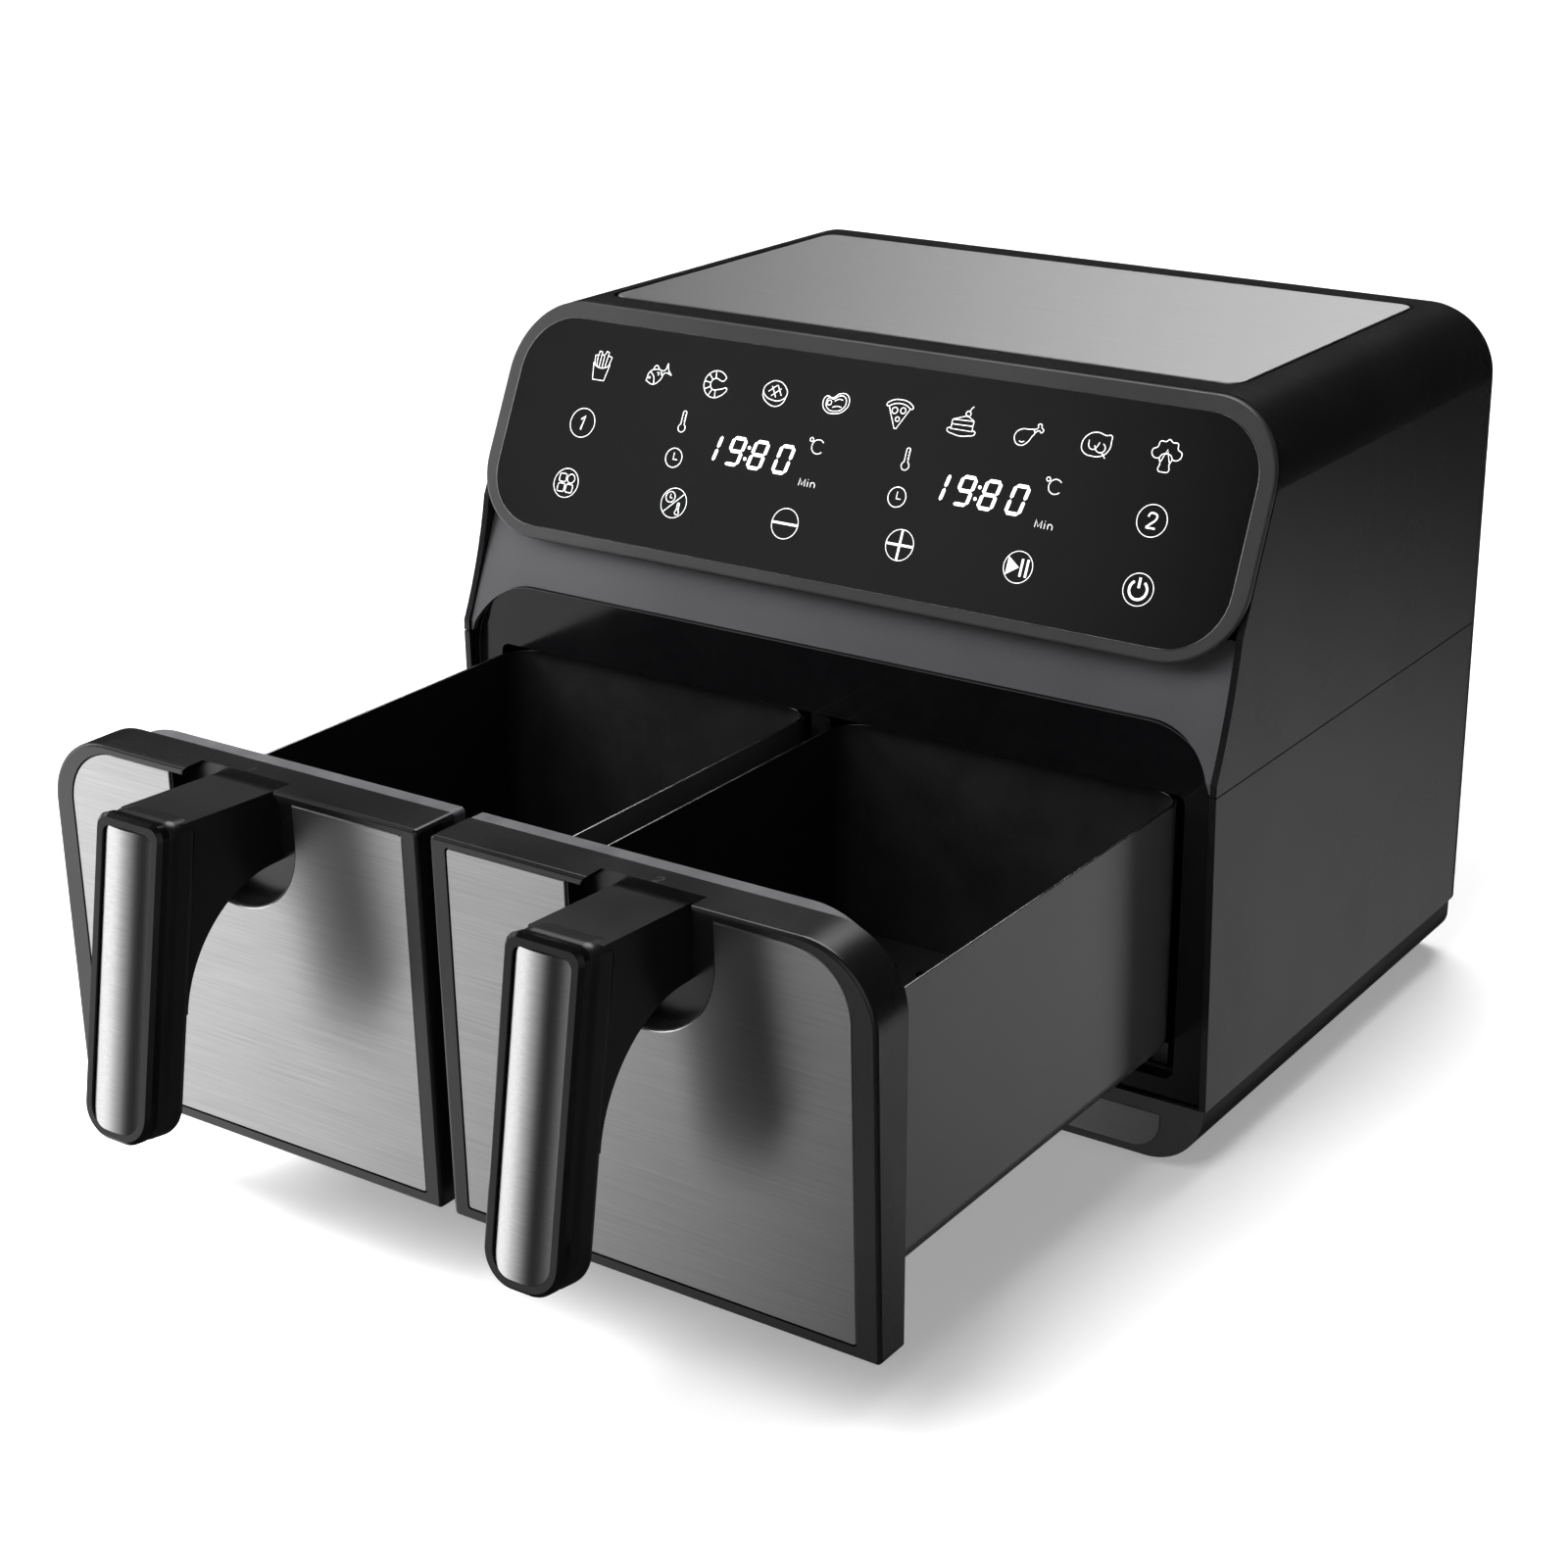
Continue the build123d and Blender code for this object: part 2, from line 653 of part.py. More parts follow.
def make_heater_guard():
    """Round wire-grille plate under the element."""
    with BuildPart() as guard:
        with BuildSketch(level(HOOD_LOW + 2)):
            with Locations((FAN_X, FAN_Y)):
                for radius in GUARD_RINGS:
                    Circle(radius)
                    Circle(radius - GUARD_WIRE, mode=Mode.SUBTRACT)
                for angle in (0, 45, 90, 135):
                    Rectangle(2 * GUARD_RINGS[0] - 1, GUARD_WIRE, rotation=angle)
        extrude(amount=1.2)
    return guard.part


def make_slide_rails():
    with BuildPart() as rails:
        for hand in (-1, 1):
            for x in (16.0, 163.0):
                low, high = sorted((hand * x, hand * (x + 7)))
                block(low, high, 18, CHAMBER_REAR - 8, CHAMBER_LOW + SHEET, PAN_LOW - 0.3)
    return rails.part


def make_temperature_probes():
    with BuildPart() as probes:
        with BuildSketch(facing(CHAMBER_REAR + 6)):
            with Locations((PROBE_X, PROBE_Z), (-PROBE_X, PROBE_Z)):
                Circle(2)
        extrude(amount=30)
        with BuildSketch(facing(CHAMBER_REAR + 6)):
            with Locations((PROBE_X, PROBE_Z), (-PROBE_X, PROBE_Z)):
                RegularPolygon(5, 6)
        extrude(amount=6)
    return probes.part


def make_thermal_cutouts():
    with BuildPart() as cutouts:
        with BuildSketch(level(CHAMBER_HIGH)):
            with Locations((PROBE_X, CUTOUT_Y), (-PROBE_X, CUTOUT_Y)):
                Circle(8)
        extrude(amount=6)
        with BuildSketch(level(CHAMBER_HIGH + 6)):
            with Locations((PROBE_X, CUTOUT_Y), (-PROBE_X, CUTOUT_Y)):
                with GridLocations(8, 1, 2, 1):
                    Rectangle(0.8, 5)
        extrude(amount=7)
    return cutouts.part


def make_drawer_sensors():
    with BuildPart() as sensors:
        for hand in (-1, 1):
            low, high = sorted((hand * 35, hand * 50))
            block(low, high, ARCH_FACE + ARCH_THICK, CHAMBER_FRONT + 9, HOOD_LOW + 2, HOOD_LOW + 12)
    return sensors.part


# ---------------------------------------------------------------- fans and motors


def make_motor():
    with BuildPart() as motor:
        block(FAN_X - BRACKET_HALF, FAN_X + BRACKET_HALF, FAN_Y - 20, FAN_Y + 20, MOTOR_LOW - 1.5, MOTOR_LOW)
        for x in (FAN_X - BRACKET_HALF, FAN_X + BRACKET_HALF - 8):
            block(x, x + 8, FAN_Y - 15, FAN_Y + 15, CHAMBER_HIGH, MOTOR_LOW - 1.5)
        with BuildSketch(level(MOTOR_LOW)):
            with Locations((FAN_X, FAN_Y)):
                Circle(MOTOR_RADIUS)
        extrude(amount=MOTOR_HIGH - MOTOR_LOW)
        fillet(motor.edges().filter_by(GeomType.CIRCLE).sort_by(Axis.Z)[-1], 4)
        with BuildSketch(level(MOTOR_HIGH)):
            with Locations((FAN_X, FAN_Y)):
                Circle(7)
        extrude(amount=4)
        with BuildSketch(level(CHAMBER_HIGH)):
            with Locations((FAN_X, FAN_Y)):
                Circle(SHAFT_RADIUS + RUNNING_GAP)
        extrude(amount=HEIGHT, mode=Mode.SUBTRACT)
    return motor.part


def make_motor_shaft():
    with BuildPart() as shaft:
        with BuildSketch(level(176)):
            with Locations((FAN_X, FAN_Y)):
                Circle(SHAFT_RADIUS)
        extrude(amount=MOTOR_HIGH + 8 - 176)
        chamfer(shaft.edges().filter_by(GeomType.CIRCLE), 0.5)
    return shaft.part


def make_fan(low, disc_z, height, radius, blades, pitch):
    """A flat disc with a hub and upright blades, from low to low + height."""
    with BuildPart() as fan:
        with BuildSketch(level(low)):
            with Locations((FAN_X, FAN_Y)):
                Circle(9)
        extrude(amount=height)
        with BuildSketch(level(disc_z)):
            with Locations((FAN_X, FAN_Y)):
                Circle(radius)
        extrude(amount=1.2)
        with BuildSketch(level(low)):
            with Locations((FAN_X, FAN_Y)):
                with PolarLocations(0.62 * radius, blades):
                    Rectangle(0.68 * radius, 1.4, rotation=pitch)
        extrude(amount=height)
        with BuildSketch(level(low)):
            with Locations((FAN_X, FAN_Y)):
                Circle(radius)
        extrude(amount=height, mode=Mode.INTERSECT)
        with BuildSketch(level(low - 1)):
            with Locations((FAN_X, FAN_Y)):
                Circle(SHAFT_RADIUS + RUNNING_GAP)
        extrude(amount=height + 2, mode=Mode.SUBTRACT)
    return fan.part


# ---------------------------------------------------------------- electronics and back


def make_power_board():
    with BuildPart() as board:
        block(-70, 70, 281, 282.6, 40, 130)
        block(-60, -30, 266, 281, 50, 80)
        block(-20, 5, 268, 281, 50, 72)
        block(20, 45, 270, 281, 95, 120)
        with BuildSketch(facing(281)):
            with Locations((30, 62), (48, 62), (-45, 105)):
                Circle(7)
        extrude(amount=14)
    return board.part


def make_rear_vent_cover():
    pitch = (VENT_HIGH - VENT_LOW) / VENT_SLOTS
    with BuildPart() as cover:
        inner = DEPTH - WALL
        block(-VENT_HALF - 6, VENT_HALF + 6, inner - 2.5, inner, VENT_LOW - 6, VENT_HIGH + 6)
        block(-VENT_HALF + 0.3, VENT_HALF - 0.3, inner - 1, DEPTH - 0.5, VENT_LOW + 0.3, VENT_HIGH - 0.3)
        for row in range(VENT_SLOTS):
            z = VENT_LOW + (row + 0.5) * pitch
            for x0, x1 in ((-VENT_HALF + 6, -3), (3, VENT_HALF - 6)):
                block(x0, x1, inner - 3, DEPTH, z - 1.8, z + 1.8, Mode.SUBTRACT)
    return cover.part


def make_cord_gland():
    with BuildPart() as gland:
        with BuildSketch(facing(DEPTH - WALL - 3)):
            with Locations((GLAND_X, GLAND_Z)):
                Circle(GLAND_STEM)
        extrude(amount=-WALL - 3)
        with BuildSketch(facing(DEPTH)):
            with Locations((GLAND_X, GLAND_Z)):
                Circle(GLAND_COLLAR)
        extrude(amount=-2.5)
        with BuildSketch(facing(DEPTH + 2.5)):
            with Locations((GLAND_X, GLAND_Z)):
                Circle(7.5)
        extrude(amount=2.5 - GLAND_REACH, taper=8)
        with BuildSketch(facing(DEPTH - WALL - 4)):
            with Locations((GLAND_X, GLAND_Z)):
                Circle(GLAND_BORE)
        extrude(amount=-WALL - 6 - GLAND_REACH, mode=Mode.SUBTRACT)
    return gland.part


# ---------------------------------------------------------------- drawers


def front_outline(x0, x1, z0, z1, radius, inner_radius=2.0):
    """A drawer front's outline: a rectangle whose outer top corner has the large radius."""
    with BuildLine() as outline:
        Line((x1, z0 + inner_radius), (x1, z1 - radius))
        RadiusArc((x1, z1 - radius), (x1 - radius, z1), -radius)
        Line((x1 - radius, z1), (x0 + inner_radius, z1))
        RadiusArc((x0 + inner_radius, z1), (x0, z1 - inner_radius), -inner_radius)
        Line((x0, z1 - inner_radius), (x0, z0 + inner_radius))
        RadiusArc((x0, z0 + inner_radius), (x0 + inner_radius, z0), -inner_radius)
        Line((x0 + inner_radius, z0), (x1 - inner_radius, z0))
        RadiusArc((x1 - inner_radius, z0), (x1, z0 + inner_radius), -inner_radius)
    make_face(outline.edges())


def steel_outline(grow):
    """The steel facing's outline, with the notch for the handle's neck left out of it."""
    front_outline(
        STEEL_IN - grow, STEEL_OUT + grow, STEEL_LOW - grow, STEEL_HIGH + grow, STEEL_RADIUS + grow, 1.5
    )


def notch_outline(radius, high, mode=Mode.ADD):
    """U-shaped notch behind the handle's neck, open at the top."""
    with Locations((HANDLE_X, NOTCH_HEIGHT)):
        Circle(radius, mode=mode)
    with Locations((HANDLE_X, (NOTCH_HEIGHT + high) / 2)):
        Rectangle(2 * radius, high - NOTCH_HEIGHT, mode=mode)


def make_drawer_front():
    with BuildPart() as front:
        with BuildSketch(facing(DRAWER + FRONT_BACK)):
            front_outline(FRONT_IN, FRONT_OUT, FRONT_LOW, FRONT_HIGH, FRONT_RADIUS)
        extrude(amount=60)
        with BuildSketch(drawer_face()):
            Rectangle(3 * WIDTH, 3 * WIDTH)
        extrude(amount=100, mode=Mode.SUBTRACT)
        fillet(front.faces().sort_by(Axis.Y)[0].edges(), 1.5)
        with BuildSketch(drawer_face(STEEL_THICK + 0.3)):
            steel_outline(0.4)
        extrude(amount=20, mode=Mode.SUBTRACT)
        with BuildSketch(drawer_face(NOTCH_DEPTH)):
            notch_outline(NOTCH_RADIUS - STEEL_THICK, STEEL_HIGH)
        extrude(amount=20, mode=Mode.SUBTRACT)
        for x0, x1, z1 in ((FRONT_IN + 4, 61, 160), (63, 131, 112), (133, FRONT_OUT - 10, 150)):
            block(x0, x1, DRAWER - 12, DRAWER + 1, FRONT_LOW + 4, z1, Mode.SUBTRACT)
        with BuildSketch(facing(DRAWER + 5)):
            with Locations(*HANDLE_SCREWS):
                Circle(2.2)
        extrude(amount=30, mode=Mode.SUBTRACT)
    return front.part


def make_steel_face():
    with BuildPart() as face:
        with BuildSketch(drawer_face(STEEL_THICK + 0.2)):
            steel_outline(0)
            notch_outline(NOTCH_RADIUS, STEEL_HIGH + 1, Mode.SUBTRACT)
        extrude(amount=STEEL_THICK)
        front = face.faces().sort_by(SortBy.AREA)[-2:].sort_by(Axis.Y)[0]
        chamfer(front.edges(), STEEL_BEVEL)
    return face.part


def make_back_cover():
    """Back of the drawer front, with the arm and hooks that hold the pan."""
    with BuildPart() as cover:
        with BuildSketch(facing(DRAWER + LIP_BACK)):
            front_outline(FRONT_IN + 0.5, LIP_OUT, FRONT_LOW + 1, FRONT_HIGH - 0.2, LIP_RADIUS)
        extrude(amount=LIP_BACK - FRONT_BACK)
        with BuildSketch(facing(DRAWER + LIP_BACK - 3)):
            front_outline(FRONT_IN + 4, LIP_OUT - 4, FRONT_LOW + 5, FRONT_HIGH - 5, LIP_RADIUS - 4)
        extrude(amount=10, mode=Mode.SUBTRACT)
        block(40, 145, DRAWER + LIP_BACK, DRAWER + PAN_FRONT, 60, 120)
        with BuildSketch(facing(DRAWER + LIP_BACK - 3)):
            with Locations(*HANDLE_SCREWS):
                Circle(6)
        extrude(amount=LIP_BACK - 3 - FRONT_BACK)
        with BuildSketch(facing(DRAWER + LIP_BACK + 1)):
            with Locations(*HANDLE_SCREWS):
                Circle(2.2)
        extrude(amount=20, mode=Mode.SUBTRACT)
        with BuildSketch(facing(DRAWER + LIP_BACK + 1)):
            with Locations(*HANDLE_SCREWS):
                Circle(SCREW_HEAD + 0.4)
        extrude(amount=1 + SCREW_SINK, mode=Mode.SUBTRACT)
        arm = PAN_OUT + 0.2
        for low, high, reach in ARM_LEVELS:
            block(arm, arm + ARM_THICK, DRAWER + LIP_BACK - 1, DRAWER + reach, low, high)
    return cover.part


def make_pan():
    with BuildPart() as pan:
        with BuildSketch(level(PAN_LOW)):
            slab(PAN_IN, PAN_OUT, DRAWER + PAN_FRONT, DRAWER + PAN_REAR, PAN_RADIUS)
        extrude(amount=PAN_HIGH - PAN_LOW)
        fillet(pan.faces().sort_by(Axis.Z)[0].edges(), PAN_FOOT_RADIUS)
        offset(amount=-PAN_THICK, openings=pan.faces().sort_by(Axis.Z)[-1])
    return pan.part


def make_crisper_plate():
    """Perforated plate that keeps food off the pan's floor."""
    middle = ((PAN_IN + PAN_OUT) / 2, DRAWER + (PAN_FRONT + PAN_REAR) / 2)
    with BuildPart() as plate:
        with BuildSketch(level(CRISPER_Z)):
            slab(
                PAN_IN + CRISPER_INSET,
                PAN_OUT - CRISPER_INSET,
                DRAWER + PAN_FRONT + CRISPER_INSET,
                DRAWER + PAN_REAR - CRISPER_INSET,
                PAN_RADIUS - 2,
            )
            with Locations(middle):
                with GridLocations(*CRISPER_PITCH, 8, 11):
                    Circle(CRISPER_HOLE, mode=Mode.SUBTRACT)
                with GridLocations(*CRISPER_PITCH, 7, 10):
                    Circle(CRISPER_SMALL_HOLE, mode=Mode.SUBTRACT)
        extrude(amount=CRISPER_THICK)
    return plate.part


def make_crisper_bumpers():
    middle = ((PAN_IN + PAN_OUT) / 2, DRAWER + (PAN_FRONT + PAN_REAR) / 2)
    with BuildPart() as bumpers:
        with BuildSketch(level(PAN_LOW + PAN_THICK + BUMPER_GAP)):
            with Locations(middle):
                with GridLocations(*BUMPER_SPAN, 2, 2):
                    RectangleRounded(12, 10, 3)
        extrude(amount=CRISPER_Z - PAN_LOW - PAN_THICK - BUMPER_GAP)
    return bumpers.part


def grip_outline(shrink=0.0):
    """The grip seen square on: nearly square at the top, well rounded at the bottom."""
    length = GRIP_TOP[1] - GRIP_LOW[1]
    half = GRIP_WIDTH / 2 - shrink
    high = length / 2 - shrink
    top = GRIP_TOP_RADIUS - shrink / 2
    low = GRIP_LOW_RADIUS - shrink
    with BuildLine() as outline:
        Line((half, low - high), (half, high - top))
        RadiusArc((half, high - top), (half - top, high), -top)
        Line((half - top, high), (top - half, high))
        RadiusArc((top - half, high), (-half, high - top), -top)
        Line((-half, high - top), (-half, low - high))
        RadiusArc((-half, low - high), (low - half, -high), -low)
        Line((low - half, -high), (half - low, -high))
        RadiusArc((half - low, -high), (half, low - high), -low)
    make_face(outline.edges())


def make_handle():
    """Neck and grip in one moulding; the neck's underside sweeps down into the grip's back."""
    with BuildPart() as handle:
        with BuildSketch(grip_face(GRIP_DEPTH)):
            grip_outline()
        extrude(amount=GRIP_DEPTH - TRIM_THICK - 0.1)
        fillet(handle.faces().sort_by(Axis.Y)[-1].edges(), 5)
        with BuildSketch(side(HANDLE_X - NECK_WIDTH / 2, DRAWER)):
            with BuildLine():
                Polyline((-73, 96), (-62, 168.5), (0, 165.5), (0, 137.5), (-14, 137))
                ThreePointArc((-14, 137), (-45, 128), (-66, 93))
                Line((-66, 93), (-73, 96))
            make_face()
        extrude(amount=NECK_WIDTH)
        with BuildSketch(drawer_face(NOTCH_DEPTH)):
            Rectangle(3 * WIDTH, 3 * WIDTH)
        extrude(amount=-30, mode=Mode.SUBTRACT)
        with BuildSketch(facing(DRAWER)):
            with Locations(*HANDLE_SCREWS):
                Circle(2.05)
        extrude(amount=28, mode=Mode.SUBTRACT)
    return handle.part


def make_handle_trim():
    """Gloss front shell of the grip, with the pocket for the steel strip."""
    with BuildPart() as trim:
        with BuildSketch(grip_face(TRIM_THICK)):
            grip_outline()
        extrude(amount=TRIM_THICK)
        chamfer(trim.faces().sort_by(GRIP_OUT)[-1].edges(), 1.6)
        with BuildSketch(grip_face(2)):
            grip_outline(STRIP_INSET - 0.2)
        extrude(amount=10, mode=Mode.SUBTRACT)
    return trim.part


def make_handle_face():
    """Brushed steel strip, crowned across its width."""
    half = GRIP_WIDTH / 2 - STRIP_INSET
    base = grip_face(1.9)
    across = Plane(origin=base.origin, x_dir=(1, 0, 0), z_dir=base.y_dir)
    with BuildPart() as strip:
        with BuildSketch(across):
            with BuildLine():
                ThreePointArc((-half, -0.8), (0, -0.8 - STRIP_CROWN), (half, -0.8))
                Line((half, -0.8), (half, 0))
                Line((half, 0), (-half, 0))
                Line((-half, 0), (-half, -0.8))
            make_face()
        extrude(amount=80, both=True)
        with BuildSketch(grip_face(10)):
            grip_outline(STRIP_INSET)
        extrude(amount=20, mode=Mode.INTERSECT)
    return strip.part


def make_handle_screws():
    with BuildPart() as screws:
        with BuildSketch(facing(DRAWER + LIP_BACK - SCREW_SINK)):
            with Locations(*HANDLE_SCREWS):
                Circle(2)
        extrude(amount=24)
        with BuildSketch(facing(DRAWER + LIP_BACK - SCREW_SINK + 1.6)):
            with Locations(*HANDLE_SCREWS):
                Circle(SCREW_HEAD)
        extrude(amount=1.6)
    return screws.part


os.makedirs("parts", exist_ok=True)

write("upper_shell", make_upper_shell())
write("lower_shell", make_lower_shell())
write("base_tray", make_base_tray())
write("base_trim_strip", make_base_trim_strip())
write("top_plate", make_top_plate())
write("housing_screws", make_housing_screws())
for number, (x, y) in enumerate(FEET, start=1):
    write(f"foot_{number}", make_foot(x, y))

write("control_bezel", make_control_bezel())
write("touch_glass", make_touch_glass())
write("control_board", make_control_board())
write("display_modules", make_display_modules())
write("cove_panel", make_cove_panel())
write("drawer_arch", make_drawer_arch())
write("divider_post", make_divider_post())

write_pair("chamber", make_chamber())
write_pair("heater", make_heater())
write_pair("heater_guard", make_heater_guard())
write_pair("motor", make_motor())
write_pair("motor_shaft", make_motor_shaft())
write_pair("hot_fan", make_fan(178, 189.5, 13, HOT_FAN_RADIUS, 9, 55))
write_pair("cooling_fan", make_fan(200, 205, 11, COOLING_FAN_RADIUS, 7, 40))
write("slide_rails", make_slide_rails())
write("temperature_probes", make_temperature_probes())
write("thermal_cutouts", make_thermal_cutouts())
write("drawer_sensors", make_drawer_sensors())

write("power_board", make_power_board())
write("rear_vent_cover", make_rear_vent_cover())
write("cord_gland", make_cord_gland())

write_pair("drawer_front", make_drawer_front())
write_pair("steel_face", make_steel_face())
write_pair("back_cover", make_back_cover())
write_pair("pan", make_pan())
write_pair("crisper_plate", make_crisper_plate())
write_pair("crisper_bumpers", make_crisper_bumpers())
write_pair("handle", make_handle())
write_pair("handle_trim", make_handle_trim())
write_pair("handle_face", make_handle_face())
write_pair("handle_screws", make_handle_screws())
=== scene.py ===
"""The look of a two-drawer air fryer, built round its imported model. Everything is in metres."""
import math

import bmesh
import bpy
from mathutils import Matrix, Vector


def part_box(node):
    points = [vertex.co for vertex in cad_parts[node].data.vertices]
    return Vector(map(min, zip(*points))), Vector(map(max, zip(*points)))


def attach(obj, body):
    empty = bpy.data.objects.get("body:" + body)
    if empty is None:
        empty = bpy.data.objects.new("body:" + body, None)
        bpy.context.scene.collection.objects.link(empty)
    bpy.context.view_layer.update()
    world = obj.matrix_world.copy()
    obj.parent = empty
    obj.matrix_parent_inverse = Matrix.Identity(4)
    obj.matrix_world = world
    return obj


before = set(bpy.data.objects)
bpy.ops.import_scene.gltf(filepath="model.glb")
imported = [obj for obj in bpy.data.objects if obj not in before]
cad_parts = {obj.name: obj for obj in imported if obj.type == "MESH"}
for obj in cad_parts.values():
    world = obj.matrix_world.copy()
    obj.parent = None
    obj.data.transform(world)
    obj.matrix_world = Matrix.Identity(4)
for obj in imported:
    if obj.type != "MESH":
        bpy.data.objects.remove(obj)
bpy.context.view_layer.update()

MM = 0.001
SIDES = {"left": -1, "right": 1}


# ---------------------------------------------------------------- material tools

def linear(colour):
    """Turns a #rrggbb sRGB colour into the linear one that a shader takes."""
    parts = [int(colour[i:i + 2], 16) / 255 for i in (1, 3, 5)]
    return [c / 12.92 if c <= 0.04045 else ((c + 0.055) / 1.055) ** 2.4 for c in parts] + [1.0]


def add(tree, kind, settings={}, inputs={}):
    """Adds one node. A setting is a property, and an input is a value or a socket to link."""
    node = tree.nodes.new(kind)
    for name, value in settings.items():
        setattr(node, name, value)
    for name, value in inputs.items():
        if isinstance(value, bpy.types.NodeSocket):
            tree.links.new(value, node.inputs[name])
        else:
            node.inputs[name].default_value = value
    return node


def blank(name):
    """A material with an empty node tree."""
    material = bpy.data.materials.new(name)
    material.use_nodes = True
    material.node_tree.nodes.clear()
    return material, material.node_tree


def finish(material, tree, inputs):
    """Closes a material with its surface shader."""
    shader = add(tree, "ShaderNodeBsdfPrincipled", {}, inputs)
    add(tree, "ShaderNodeOutputMaterial", {}, {"Surface": shader.outputs["BSDF"]})
    return material


def skin(tree, dark, light, grain, depth, roughness, swing, cloud=45 * MM):
    """Colour, gloss and relief of a moulded, coated or cast face.

    grain is the size of its texture and depth its height. cloud is the size of the patches over
    which the colour and the gloss drift.
    """
    place = add(tree, "ShaderNodeTexCoord").outputs["Object"]
    fine = add(tree, "ShaderNodeTexNoise", {}, {"Vector": place, "Scale": 1 / grain, "Detail": 2.0})
    broad = add(tree, "ShaderNodeTexNoise", {}, {"Vector": place, "Scale": 1 / cloud, "Detail": 3.0})
    mottle = add(tree, "ShaderNodeMath", {"operation": "ADD"},
                 {0: fine.outputs["Fac"], 1: broad.outputs["Fac"]})
    share = add(tree, "ShaderNodeMapRange", {},
                {"Value": mottle.outputs[0], "From Min": 0.6, "From Max": 1.4})
    colour = add(tree, "ShaderNodeMix", {"data_type": "RGBA"},
                 {0: share.outputs["Result"], 6: linear(dark), 7: linear(light)})
    gloss = add(tree, "ShaderNodeMapRange", {},
                {"Value": broad.outputs["Fac"], "From Min": 0.3, "From Max": 0.7,
                 "To Min": roughness - swing, "To Max": roughness + swing})
    relief = add(tree, "ShaderNodeBump", {}, {"Distance": depth, "Height": fine.outputs["Fac"]})
    return {"Base Color": colour.outputs[2], "Roughness": gloss.outputs["Result"],
            "Normal": relief.outputs["Normal"]}


# ---------------------------------------------------------------- plastics

def satin_black_abs():
    """Moulded ABS from a spark-eroded tool: near black, with a wide soft sheen."""
    material, tree = blank("satin_black_abs")
    # the real grain is about 0.3 mm, drawn at 0.8 mm so that it shows
    face = skin(tree, "#0a0a0b", "#111112", 0.8 * MM, 0.010 * MM, 0.27, 0.01)
    return finish(material, tree, {**face, "IOR": 1.54, "Specular IOR Level": 0.3})


def textured_black_abs():
    """The tray's coarser moulded ABS: matt, so its slopes stay grey and even."""
    material, tree = blank("textured_black_abs")
    face = skin(tree, "#171718", "#232324", 1.2 * MM, 0.05 * MM, 0.5, 0.05)
    return finish(material, tree, {**face, "IOR": 1.54, "Specular IOR Level": 0.4})


def polished_black_abs():
    """ABS from a mirror-polished tool: black glass-like gloss with a faint flow ripple."""
    material, tree = blank("polished_black_abs")
    face = skin(tree, "#060607", "#0a0a0b", 6 * MM, 0.01 * MM, 0.13, 0.03)
    return finish(material, tree, {**face, "IOR": 1.54, "Specular IOR Level": 0.35})


def charcoal_abs():
    """Satin charcoal ABS of the panel's surround: dark grey with a soft edge light."""
    material, tree = blank("charcoal_abs")
    face = skin(tree, "#232324", "#2b2b2c", 0.8 * MM, 0.012 * MM, 0.36, 0.02)
    return finish(material, tree, {**face, "IOR": 1.54, "Specular IOR Level": 0.45})


def cove_abs_painted_light():
    """Satin ABS of the cove: the bezel's dark grey plastic, given a lighter grey base as painted light for
    the broad soft light its curve catches.
    """
    material, tree = blank("cove_abs_painted_light")
    # painted light: these greys are lighter than the bezel's charcoal to stand in for light falling on the
    # cove
    face = skin(tree, "#333335", "#3b3b3d", 0.8 * MM, 0.012 * MM, 0.42, 0.02)
    return finish(material, tree, {**face, "IOR": 1.54, "Specular IOR Level": 0.5})


def semi_gloss_black_abs():
    """The drawer fronts' ABS: black, with clear but soft-edged reflections."""
    material, tree = blank("semi_gloss_black_abs")
    face = skin(tree, "#0a0a0b", "#101011", 1.0 * MM, 0.006 * MM, 0.27, 0.03)
    return finish(material, tree, {**face, "IOR": 1.54, "Specular IOR Level": 0.45})


def grey_nylon():
    """Glass-filled nylon of the drawers' inner covers: a dull mid grey with a cloudy skin."""
    material, tree = blank("grey_nylon")
    face = skin(tree, "#3a3a3c", "#4e4e50", 1.0 * MM, 0.03 * MM, 0.48, 0.06, cloud=12 * MM)
    return finish(material, tree, {**face, "IOR": 1.53, "Specular IOR Level": 0.5})


def black_nylon():
    """Heat-resistant nylon of the rails, sensors and vent: black and dull."""
    material, tree = blank("black_nylon")
    face = skin(tree, "#101011", "#1b1b1c", 1.0 * MM, 0.04 * MM, 0.52, 0.06, cloud=15 * MM)
    return finish(material, tree, {**face, "IOR": 1.53, "Specular IOR Level": 0.4})


def handle_plastic():
    """Soft-touch black moulding of the handles: a velvety dark face."""
    material, tree = blank("handle_plastic")
    face = skin(tree, "#0b0b0c", "#131314", 0.7 * MM, 0.01 * MM, 0.33, 0.03)
    return finish(material, tree, {**face, "IOR": 1.52, "Specular IOR Level": 0.45})


def display_block():
    """Potting resin of the display blocks: black with a dull gloss."""
    material, tree = blank("display_block")
    face = skin(tree, "#0c0c0c", "#161616", 2 * MM, 0.02 * MM, 0.4, 0.05)
    return finish(material, tree, {**face, "IOR": 1.55})


def silicone_rubber():
    """Moulded silicone of the feet and bumpers: matt black with a dusty bloom."""
    material, tree = blank("silicone_rubber")
    face = skin(tree, "#0e0e0e", "#1c1c1c", 0.8 * MM, 0.03 * MM, 0.7, 0.08, cloud=8 * MM)
    return finish(material, tree, {**face, "IOR": 1.43, "Sheen Weight": 0.15, "Sheen Roughness": 0.5})


def printed_glass():
    """Tempered glass with black enamel fired on its back: deep black under a clear hard gloss."""
    material, tree = blank("printed_glass")
    face = skin(tree, "#040405", "#070708", 25 * MM, 0.004 * MM, 0.09, 0.02)
    return finish(material, tree, {**face, "IOR": 1.52})


# ---------------------------------------------------------------- metals

